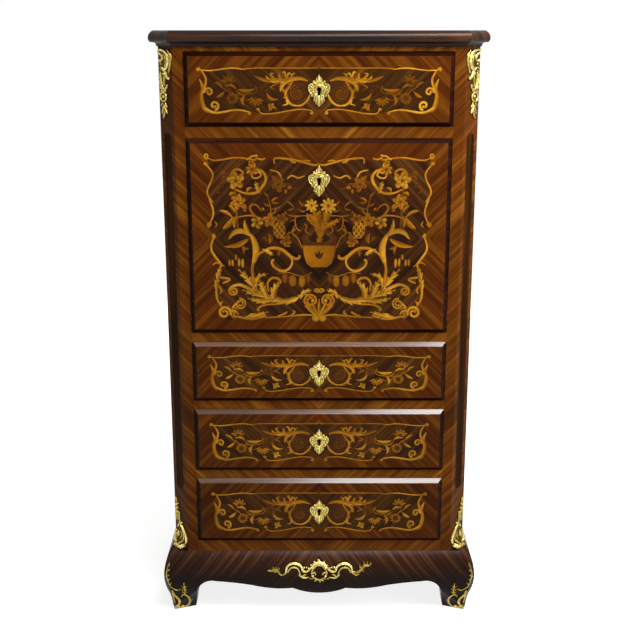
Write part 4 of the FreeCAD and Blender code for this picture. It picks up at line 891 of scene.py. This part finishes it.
class Casting:
    """Ridges and beads of one mount in millimetres: across, up, and out from the ground it sits on."""

    def __init__(self, swell=1.0):
        self.form = bmesh.new()
        self.swell = swell

    def ridge(self, relief, *row):
        """Scroll with a domed, grooved section that swells and dies away: its height, then its stroke."""
        [(widths, drawn)] = strokes([row])
        rings = []
        for point, across, share in flowing(drawn, 5):
            half = swelling([self.swell * width for width in widths], share) / 2
            height = relief * min(1.0, 0.45 + 0.35 * half)
            section = [(k, height * math.sqrt(1 - k * k) * (1 - 0.3 * math.exp(-16 * k * k)))
                       for k in (-1, -0.9, -0.65, -0.35, 0, 0.35, 0.65, 0.9, 1)]
            ring = []
            for k, rise in section + [(1, -sunk), (-1, -sunk)]:
                place = point + across * half * k
                ring.append(self.form.verts.new((place.x, place.y, rise)))
            rings.append(ring)
        for ring, following in zip(rings, rings[1:]):
            for i in range(len(ring)):
                self.form.faces.new((ring[i - 1], ring[i], following[i], following[i - 1]))
        self.form.faces.new(rings[0])
        self.form.faces.new(rings[-1][::-1])

    def model(self, ridges, beads, most, share=1.0, rise=1.5):
        """Lays a table of ridges and one of beads, none of them higher than the most."""
        each(self.ridge, ridges)
        for x, z, radius in beads:
            size = Matrix.Diagonal((radius, radius, min(most, share * radius + rise), 1))
            place = Matrix.Translation((x, z, 0)) @ size
            bmesh.ops.create_icosphere(self.form, subdivisions=2, radius=1, matrix=place)

    def plate(self, outline, height, depth=sunk):
        """Flat ground between the scrolls."""
        foot = [self.form.verts.new((x, z, -depth)) for x, z in outline]
        head = [self.form.verts.new((x, z, height)) for x, z in outline]
        self.form.faces.new(head)
        self.form.faces.new(foot[::-1])
        for i in range(len(outline)):
            self.form.faces.new((foot[i - 1], foot[i], head[i], head[i - 1]))

    def mirrored(self):
        """Turns a copy of all that is drawn so far over to the other half."""
        drawn = self.form.verts[:] + self.form.edges[:] + self.form.faces[:]
        copy = bmesh.ops.duplicate(self.form, geom=drawn)["geom"]
        verts = [part for part in copy if isinstance(part, bmesh.types.BMVert)]
        faces = [part for part in copy if isinstance(part, bmesh.types.BMFace)]
        bmesh.ops.scale(self.form, vec=(-1, 1, 1), verts=verts)
        bmesh.ops.reverse_faces(self.form, faces=faces)

    def poured(self, name):
        """The form as an object of its own."""
        bmesh.ops.recalc_face_normals(self.form, faces=self.form.faces)
        mesh = bpy.data.meshes.new(name)
        self.form.to_mesh(mesh)
        self.form.free()
        rough = bpy.data.objects.new(name, mesh)
        bpy.context.collection.objects.link(rough)
        return rough

    def cast(self, grain_mm, kept, opening=None):
        """Points and faces of the one solid that the ridges make, its crossings run together as in a mould.
        An opening is then sawn right through it."""
        rough = self.poured("casting")
        spent = [rough]
        worked(rough, "REMESH", mode="VOXEL", voxel_size=grain_mm)
        worked(rough, "SMOOTH", iterations=3)
        worked(rough, "DECIMATE", ratio=kept)
        if opening:
            saw = Casting()
            saw.plate(opening, saw_reach, saw_reach)
            spent.append(saw.poured("blade"))
            worked(rough, "BOOLEAN", operation="DIFFERENCE", object=spent[1])
        made = bpy.data.meshes.new_from_object(rough.evaluated_get(bpy.context.evaluated_depsgraph_get()))
        points = [tuple(vert.co) for vert in made.vertices]
        faces = [list(face.vertices) for face in made.polygons]
        for piece in spent:
            bpy.data.objects.remove(piece)
        return points, faces


def gilded(name, points, faces, reliefs, body, *replaced):
    """Mount as it sits on the cabinet, with the height of each point kept for its patina."""
    piece = piece_of(name, points, faces, gilt_bronze, body)
    piece.data.attributes.new("relief", "FLOAT", "POINT").data.foreach_set("value", reliefs)
    piece.data.shade_smooth()
    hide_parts(*replaced)


# The chisel marks of chasing are drawn coarser than real ones, to show.
chasing_mm = (4.0, 2.6)
gilt_bronze, tree, shader = finish("gilt_bronze", 0.3, metallic=1.0)
relief = add(tree, "Attribute", out="Fac", attribute_name="relief")
chasing = streaks(tree, leaf_plane(tree, "XZ"), 20, *chasing_mm)
hollows = add(tree, "Math", {0: chasing, 1: 1.1, 2: -0.55}, operation="MULTIPLY_ADD")
height = add(tree, "Math", {0: relief, 1: hollows}, operation="ADD")
gilding = ((0.1, "#1C1604"), (0.4, "#5E4E14"), (0.68, "#AE9644"), (0.95, "#EFE0A0"))
colour = add(tree, "ValToRGB", {0: height}, stops=gilding)
gloss = add(tree, "MapRange", {0: height, 1: 0.1, 2: 0.9, 3: 0.5, 4: 0.24})
bump = add(tree, "Bump", {"Height": chasing, "Strength": 0.6, "Distance": 0.5 * MM})
fill(tree, shader, {"Base Color": colour, "Roughness": gloss, "Normal": bump})
plate_half, plate_height = 24.0, 71.0
plate_relief, plate_thickness = 3.0, 1.2
plate_ground = (
    (1, 0), (-3, 4), (-7, 7), (-8, 11), (-12, 13), (-11, 22), (-16, 23), (-20, 31), (-23, 41), (-22, 48),
    (-17, 50), (-13, 54), (-12, 57), (-8, 56), (-6, 62), (0, 70),
)
plate_ridges = (
    (3, 2, 3, 2, -13, 46, -16, 50, -20, 49, -23, 43, -21, 34, -16, 28, -16, 23),
    (2.8, 1.8, 2.4, 1.8, -5, 52, -9, 52, -13, 55, -11, 57, -9, 55), (2.7, 6, 6, 1, 0, 54, 0, 61, 0, 69),
    (2.5, 3, 3, 1, -3, 54, -6, 58, -6, 62), (3, 2, 2.6, 2, 0, 50, -7, 48, -12, 43, -13, 36, -9, 29, -5, 26),
    (2.6, 2.2, 2.6, 2.2, 0, 47, -6, 45, -8, 39, -7, 32, -4, 27), (2.6, 3, 3, 1, -7, 28, -10, 21, -12, 13),
    (2.5, 3, 3, 1, -4, 25, -6, 15, -8, 7), (2.8, 5, 4.6, 1, 0, 25, 0, 13, 0, 1),
)
plate_beads = ((0, 69.5, 1.5), (-16, 43.5, 2), (-17, 38, 1.5), (0, 22, 2.4))
plate = Casting()
plate.model(plate_ridges, plate_beads, plate_relief, rise=1.2)
plate.mirrored()
plate.plate([(-x, z) for x, z in plate_ground] + list(plate_ground[-2:0:-1]), plate_thickness)
key_z = key_share * plate_height
sawn = [(x, key_z + z) for x, z in opening]
plate_points, plate_faces = plate.cast(grain_mm=0.35, kept=0.4, opening=sawn)
shade_sheet_hole = keyhole(3.2, 1.8, 9.8)
shade_sheet_spread = 1.12
shade_sheet_rim = [(shade_sheet_spread * x, shade_sheet_spread * z) for x, z in opening]
shade_sheet_front, shade_sheet_back = -0.1, 6.0
# Painted shade: a near-black sheet round and inside each keyhole stands for the dark in the hole.
painted_shade_black = worn_metal("painted_shade_black", "#050403", "#12100E", 5, 0.6)
for name in fronts:
    low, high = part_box(name + "_escutcheon")
    rings = []
    for outline, depth in ((shade_sheet_rim, shade_sheet_front), (shade_sheet_hole, shade_sheet_front), (shade_sheet_hole, shade_sheet_back)):
        rings += [(x * MM, field_y + depth * MM, key_place(name) + z * MM) for x, z in outline]
    faces = between(len(shade_sheet_rim), 3) + [range(len(rings))[-len(shade_sheet_rim):]]
    inlay(name + "_keyhole_shade_sheet", rings, faces, painted_shade_black, name, 0.2)
    wide = (high[0] - low[0]) / 2 / plate_half
    tall = (high[2] - low[2]) / plate_height
    points = [(x * wide, high[1] - max(out, 0.0) * MM, low[2] + z * tall) for x, z, out in plate_points]
    reliefs = [0.28 + 0.72 * out / plate_relief for x, z, out in plate_points]
    gilded(name + "_key_plate", points, plate_faces, reliefs, name, name + "_escutcheon")

# Apron mount: a pierced shell between two scrolled arms with trailing leaves, pinned to the apron's swell.
# The ends differ, as hand-chased leaves do: the left one droops and the right one lifts.
mount_relief = 5.3
arm_ridges = (
    (5.3, 5.5, 7.5, 6, -82, 113, -79, 126, -70, 133, -58, 134, -46, 129, -40, 120),
    (4.2, 4, 5.5, 4, -78, 112, -72, 122, -63, 125, -52, 121, -46, 107),
    (5, 5.5, 7, 5.5, -43, 125, -40, 117, -33, 115, -25, 119, -20, 125),
    (3.8, 5.5, 4.5, 3.5, -79, 120, -83, 111, -91, 106, -98, 109),
    (4.4, 5, 7, 2, -50, 108, -42, 101, -34, 99, -24, 101), (4.2, 4, 4.5, 1.5, -40, 104, -36, 107, -30, 108),
    (4.2, 6.5, 5.5, 4, -8, 129, -16, 120, -18, 109, -12, 99, 0, 93),
    (5.3, 8, 8.5, 8.5, -18, 123, -13, 132, 0, 136), (4, 3, 4.5, 4, -13, 122, -8, 128, 0, 130),
    (4.8, 6.5, 6.5, 4, -8, 132, -11, 136, -13, 140), (4.4, 5.5, 5.5, 3.5, -15, 126, -19, 129, -22, 131),
    (4.2, 4, 5, 3.5, -17, 112, -10, 112, -9, 106), (4.2, 5.5, 5.5, 3.5, -5, 95, -9, 92, -12, 90),
    (3.2, 5, 4.5, 4, -24, 97, -18, 96, -11, 96),
)
trail_ridges = (
    (3.6, 4.5, 8.5, 3.2, -96, 107, -101, 116, -111, 119, -120, 117, -127, 118),
    (3.2, 5.5, 4.5, 3.2, -103, 117, -105, 122, -107, 127),
    (3, 4.5, 4, 3.2, -110, 119, -112, 123, -113, 126), (3.2, 4.5, 4, 3.2, -99, 116, -99, 120, -99, 125),
    (3, 4.5, 4, 3.2, -106, 115, -108, 113, -112, 112),
    (3.6, 5, 8, 3.2, 81, 120, 85, 113, 96, 114, 104, 121, 113, 129, 122, 129, 128, 135),
    (3.2, 5, 4.5, 3.2, 102, 123, 100, 128, 99, 134), (3, 4.5, 4, 3.2, 109, 128, 110, 133, 111, 138),
    (3, 4, 3.5, 3.2, 116, 130, 118, 134, 119, 137), (3, 4, 3.5, 3.2, 105, 120, 107, 118, 108, 114),
    (5.2, 9, 9, 4, 0, 134, -1, 139, -2, 144), (3.8, 10, 8.5, 3.2, 1, 96, 2, 91, 3, 86),
)
arm_beads = ((-37, 125, 3.2), (-31, 125, 3), (-26, 123, 2.8), (-16, 104, 4), (-83, 111, 2.8))


def ground_of(*names):
    """The surface of the pieces that carry a mount."""
    points, faces = [], []
    for name in names:
        mesh = nodes[name].data
        first = len(points)
        points += [vert.co.copy() for vert in mesh.vertices]
        faces += [[first + i for i in face.vertices] for face in mesh.polygons]
    return BVHTree.FromPolygons(points, faces)


def seated(flat_points, ground, start, way):
    """Lays a flat casting on its ground: each point goes down to the wood, then out again by its height."""
    way = Vector(way)
    points = []
    for x, z, out in flat_points:
        hit = ground.ray_cast(Vector(start(x, z)), way)[0]
        if hit is None:
            hit = ground.find_nearest(Vector(start(x, z)) + way * 0.2)[0]
        points.append(hit - way * out * MM)
    return points


def before(x, z):
    """Point well in front of the cabinet, across and up in millimetres."""
    return (x * MM, cad_box[0][1] - 0.1, z * MM)


inwards = (0, 1, 0)
apron = Casting()
apron.model(arm_ridges, arm_beads, mount_relief)
apron.mirrored()
each(apron.ridge, trail_ridges)
flat_points, faces = apron.cast(grain_mm=0.5, kept=0.35)
points = seated(flat_points, ground_of("front_apron"), before, inwards)
reliefs = [out / mount_relief for x, z, out in flat_points]
gilded("apron_shell_mount", points, faces, reliefs, "case", "apron_mount")

# Corner mounts: scrolled acanthus at the head and the foot of each canted corner, pinned through the leaves.
# Drawn across the canted face from its middle, towards the cabinet's centre, and up from the floor.
upper_ridges = (
    (4.2, 3, 6, 2.5, 13, 1358, 20, 1350, 22, 1341, 20, 1328, 17, 1318, 14, 1309),
    (5.3, 5, 7, 6, -17, 1359, -3, 1357, 8, 1351, 12, 1342, 12, 1330, 7, 1321, 0, 1317, -9, 1320),
    (3.8, 3, 4.5, 3.5, -3, 1350, 2, 1343, 4, 1332, 1, 1323),
    (4.8, 4, 5.5, 4, -20, 1359, -20, 1353, -12, 1349, -6, 1343, -9, 1337, -16, 1334, -19, 1338),
    (4, 4, 4, 1.5, 12, 1346, 17, 1344, 23, 1346), (3.8, 4, 4, 1.5, 12, 1336, 17, 1333, 22, 1332),
    (4.4, 5, 5, 3, -9, 1320, -3, 1314, 2, 1309, -3, 1306, -7, 1309),
    (5, 6, 7, 4, 0, 1311, 5, 1303, 12, 1298, 17, 1297),
    (4.6, 5, 7, 3, -14, 1310, -15, 1296, -12, 1284, -7, 1275), (4, 4, 5, 2.5, -3, 1302, -3, 1290, -4, 1279),
    (4.2, 3, 4, 2.5, -20, 1306, -20, 1294, -18, 1284), (4.6, 4, 5, 4, -6, 1274, 1, 1275, 6, 1279, 6, 1284),
    (4.6, 4, 5, 4, -8, 1274, -14, 1276, -18, 1281), (4.2, 4, 5, 4, 3, 1271, -7, 1269, -16, 1270),
    (4.8, 3, 4, 3, -7, 1267, 1, 1263, 3, 1256, -1, 1249, -8, 1247),
    (4.8, 3, 4, 3, -7, 1267, -15, 1263, -17, 1256, -14, 1249, -8, 1247),
    (4, 4, 4, 1.5, -2, 1244, 1, 1238, 5, 1234), (4, 4, 4, 1.5, -10, 1244, -14, 1240, -18, 1238),
    (4.6, 5, 6, 2, -4, 1240, -1, 1230, 5, 1221), (4.2, 5, 5, 2, -7, 1238, -11, 1228, -14, 1219),
    (4.2, 4, 5, 1.5, -5, 1226, -7, 1218, -10, 1209),
)
upper_ground = (
    (13, 1360), (21, 1351), (23, 1341), (21, 1328), (17, 1312), (13, 1307), (17, 1298), (13, 1295),
    (4, 1297), (3, 1288), (7, 1282), (6, 1275), (2, 1270), (4, 1260), (2, 1252), (-1, 1246), (5, 1235),
    (2, 1230), (6, 1220), (-2, 1221), (-9, 1209), (-13, 1219), (-18, 1237), (-14, 1247), (-18, 1256),
    (-18, 1282), (-22, 1295), (-21, 1325), (-22, 1358),
)
upper_beads = ((-14, 1328, 3.5), (-16, 1320, 3), (-16, 1312, 3), (-7, 1258, 5), (-19, 1266, 3))
lower_ridges = (
    (4.4, 3, 5, 1.5, -15, 278, -16, 285, -17, 290), (4.6, 5, 5, 2, -20, 269, -14, 272, -8, 276),
    (4.6, 5, 5, 2, -20, 258, -14, 261, -7, 265), (3.4, 4, 5, 3, -16, 284, -15, 270, -14, 255),
    (4.6, 4, 5, 4, -21, 251, -12, 253, -3, 252), (3.8, 3.5, 4, 3.5, -5, 250, -6, 240, -5, 229),
    (3.8, 3.5, 4, 3.5, -11, 250, -11, 240, -11, 229), (3.8, 3.5, 4, 3.5, -17, 250, -17, 240, -17, 229),
    (4.8, 5, 6, 2, -6, 225, 1, 226, 7, 229), (4.8, 4, 5, 2, -6, 222, -10, 217, -13, 211),
    (5.3, 4, 6, 5, -2, 221, 8, 211, 16, 199, 19, 187, 16, 176, 8, 169, 0, 168),
    (4.2, 3, 4.5, 3.5, 2, 211, 8, 201, 9, 189, 5, 178, -2, 174),
    (3.6, 2.5, 3.5, 2.5, -2, 203, 1, 193, -1, 184), (5, 2, 6, 5, -10, 204, -11, 196, -9, 189),
    (4.8, 4, 5.5, 4, -17, 204, -22, 195, -22, 185, -18, 177, -10, 175),
    (4, 3, 4, 3, -16, 196, -17, 188, -14, 182), (4.4, 4, 5, 4, 8, 167, -3, 170, -15, 169),
)
lower_ground = (
    (-17, 290), (-20, 270), (-20, 252), (-19, 230), (-14, 212), (-22, 200), (-23, 186), (-20, 172),
    (-16, 165), (8, 164), (15, 168), (20, 183), (20, 195), (12, 210), (3, 222), (7, 230), (-4, 230),
    (-3, 253), (-8, 256), (-7, 264), (-12, 270), (-8, 277),
)
lower_beads = ((11, 168, 5), (1, 167, 4), (-7, 167, 4), (-15, 168, 4))
corner_mounts = (("upper", upper_ridges, upper_beads, upper_ground),
                 ("lower", lower_ridges, lower_beads, lower_ground))
ground = ground_of("right_corner_post", "front_feet", "base_rail", "right_side")
cant_in = (-math.sqrt(0.5), math.sqrt(0.5), 0)
ground_thickness = 0.9


def other_side(points):
    """The same points on the cabinet's left."""
    return [Vector((-x, y, z)) for x, y, z in points]


def gathered(faces, *copies):
    """Points and faces of several copies of a casting; the faces of one that is turned over are reversed."""
    all_points, all_faces = [], []
    for points, turn in copies:
        first = len(all_points)
        all_points += points
        all_faces += [[first + i for i in face[::turn]] for face in faces]
    return all_points, all_faces


for word, ridges, beads, outline in corner_mounts:
    leaves = Casting(swell=1.25)
    leaves.plate(outline, ground_thickness)
    leaves.model(ridges, beads, mount_relief, share=0.6)
    flat_points, faces = leaves.cast(grain_mm=0.45, kept=0.3)
    points = seated(flat_points, ground, lambda along, z: on_cant(1, -along, 100, z), cant_in)
    reliefs = [0.1 + 0.9 * out / mount_relief for x, z, out in flat_points]
    pair = gathered(faces, (points, 1), (other_side(points), -1))
    gilded(word + "_acanthus_mounts", *pair, reliefs * 2, "case", word + "_corner_mounts")

# Sabots: gilt shoes round the front feet, a leafy rib down each outer edge and an open scroll at the toe.
# Each half is drawn from the front for the right foot and turned over the corner's diagonal for the flank.
sabot_relief = 2.8
sabot_ridges = (
    (2.6, 2, 3.6, 3, 370, 132, 374, 119, 376, 107, 373, 90, 367, 71),
    (2.2, 5.5, 4.5, 1, 371, 127, 369, 131, 368, 136), (2.2, 6, 5, 1, 374, 116, 370, 118, 367, 119),
    (2.2, 5.5, 4.5, 1, 375, 104, 372, 105, 368, 104), (2.2, 5.5, 4.5, 1, 373, 91, 370, 94, 367, 95),
    (2.2, 5.5, 4.5, 1, 369, 79, 366, 82, 363, 82), (2.4, 3.5, 4.5, 3, 366, 71, 358, 64, 350, 61, 343, 66),
    (2.4, 2.5, 5, 4, 334, 84, 333, 66, 334, 48), (2, 5, 4, 1, 333, 68, 330, 72, 327, 76),
    (2, 5, 4, 1, 333, 60, 329, 63, 326, 66), (2, 5, 4, 1, 333, 52, 329, 55, 326, 56),
    (2, 5, 4, 1, 335, 68, 338, 72, 341, 76), (2, 5, 4, 1, 336, 60, 339, 63, 341, 66),
    (2, 5, 4, 1, 336, 52, 339, 55, 341, 58),
    (2.8, 4, 6, 5, 337, 47, 327, 41, 323, 27, 326, 12, 335, 4, 345, 3.5),
    (2.4, 5.5, 4.5, 2, 337, 47, 341, 43, 344, 38),
    (2.8, 3.5, 8, 4.5, 364, 61, 359, 44, 350, 32, 348, 22, 352, 14, 358, 12),
    (2.4, 4.5, 6.5, 4.5, 365, 57, 363, 37, 360, 20), (2.6, 5.5, 7, 6, 333, 4, 347, 3.6, 361, 4),
)
sabot_beads = ((342, 6.5, 6), (352, 8.5, 4.5), (359, 7, 4), (376, 102, 3))
shoe = Casting()
shoe.model(sabot_ridges, sabot_beads, sabot_relief, rise=0.0)
flat_points, faces = shoe.cast(grain_mm=0.45, kept=0.35)
front_half = seated(flat_points, ground_of("front_feet"), before, inwards)
corner = half_flat * MM
flank_half = [Vector((y - case_front + corner, x - corner + case_front, z)) for x, y, z in front_half]
shoes = gathered(faces, (front_half, 1), (other_side(front_half), -1),
                 (flank_half, -1), (other_side(flank_half), 1))
reliefs = [0.8 * out / sabot_relief for x, z, out in flat_points]
gilded("gilt_sabots", *shoes, reliefs * 4, "case", "sabots")

# Studio: a pale paper floor, a soft light above the front, a key from the right, a weak fill, a back light.
# The floor and the sky look white to the camera and to polished surfaces, and the floor keeps the shadow.
# Near the cabinet the floor's glow is weaker, a painted shade round the cabinet.
floor_half = 8.0
shadow_reach, white_reach = 0.4, 1.4


def background_rays(tree):
    """1 for the rays that show the background: straight to the camera, off a polish or through glass."""
    rays = add(tree, "LightPath").node.outputs
    seen = add(tree, "Math", {0: rays["Is Camera Ray"], 1: rays["Is Glossy Ray"]}, operation="MAXIMUM")
    return add(tree, "Math", {0: seen, 1: rays["Is Transmission Ray"]}, operation="MAXIMUM")


matt_paper, tree, shader = finish("matt_paper", 0.9, 0.1)
fibre = streaks(tree, leaf_plane(tree, "XY"), 0, 40, 40)
tint = add(tree, "ValToRGB", {0: fibre}, stops=((0.3, "#B4B4B2"), (0.7, "#BEBEBC")))
reach = add(tree, "VectorMath", {0: add(tree, "TexCoord", out="Object")}, "Value", operation="LENGTH")
# Painted shade: the floor's glow falls from full white far off to less near the cabinet.
white = add(tree, "MapRange", {0: reach, 1: shadow_reach, 2: white_reach, 3: 0.8, 4: 1.05})
glow = add(tree, "Math", {0: background_rays(tree), 1: white}, operation="MULTIPLY")
fill(tree, shader, {"Base Color": tint, "Emission Strength": glow, "Emission Color": "#FFFFFF"})
floor_mesh = bpy.data.meshes.new("studio_floor")
corners = [(x * floor_half, y * floor_half, 0.0) for x, y in ((-1, -1), (1, -1), (1, 1), (-1, 1))]
floor_mesh.from_pydata(corners, [], [(0, 1, 2, 3)])
floor_mesh.materials.append(matt_paper)
floor = bpy.data.objects.new("studio_floor", floor_mesh)
bpy.context.collection.objects.link(floor)

scene = bpy.context.scene
scene.view_settings.view_transform = "Standard"
sky = bpy.data.worlds.new("studio_sky")
scene.world = sky
sky.use_nodes = True
tree = sky.node_tree
level = add(tree, "MapRange", {0: background_rays(tree), 3: 0.13, 4: 1.0})
fill(tree, tree.nodes["Background"].inputs, {"Strength": level, "Color": "#FFFFFF"})


def softbox(name, place, aim, size, power):
    """Soft rectangular light, turned to what it lights."""
    light = bpy.data.lights.new(name, "AREA")
    light.shape = "RECTANGLE"
    light.size, light.size_y = size
    light.energy = power
    lamp = bpy.data.objects.new(name, light)
    lamp.location = place
    lamp.rotation_euler = (Vector(aim) - Vector(place)).to_track_quat("-Z", "Y").to_euler()
    bpy.context.collection.objects.link(lamp)


softbox("overhead_softbox", (0.55, -0.8, 2.2), (0.45, -0.68, 0.0), (1.8, 0.45), 52)
softbox("key_softbox", (2.0, -1.5, 1.9), (0.0, -0.1, 1.0), (0.9, 1.2), 30)
softbox("fill_softbox", (-2.0, -3.0, 1.4), (0.0, -0.1, 0.7), (1.2, 1.8), 2)
softbox("back_softbox", (0.0, 3.2, 0.9), (0.0, 0.1, 0.8), (1.8, 1.5), 36)

camera_data = bpy.data.cameras.new("photo_camera")
camera_data.sensor_width = 36.0
camera_data.lens = 60.4
camera = bpy.data.objects.new("photo_camera", camera_data)
camera.location = (0.002, -2.581, 1.40)
camera.rotation_euler = (math.radians(90 - 15.1), 0, 0)
bpy.context.collection.objects.link(camera)
scene.camera = camera
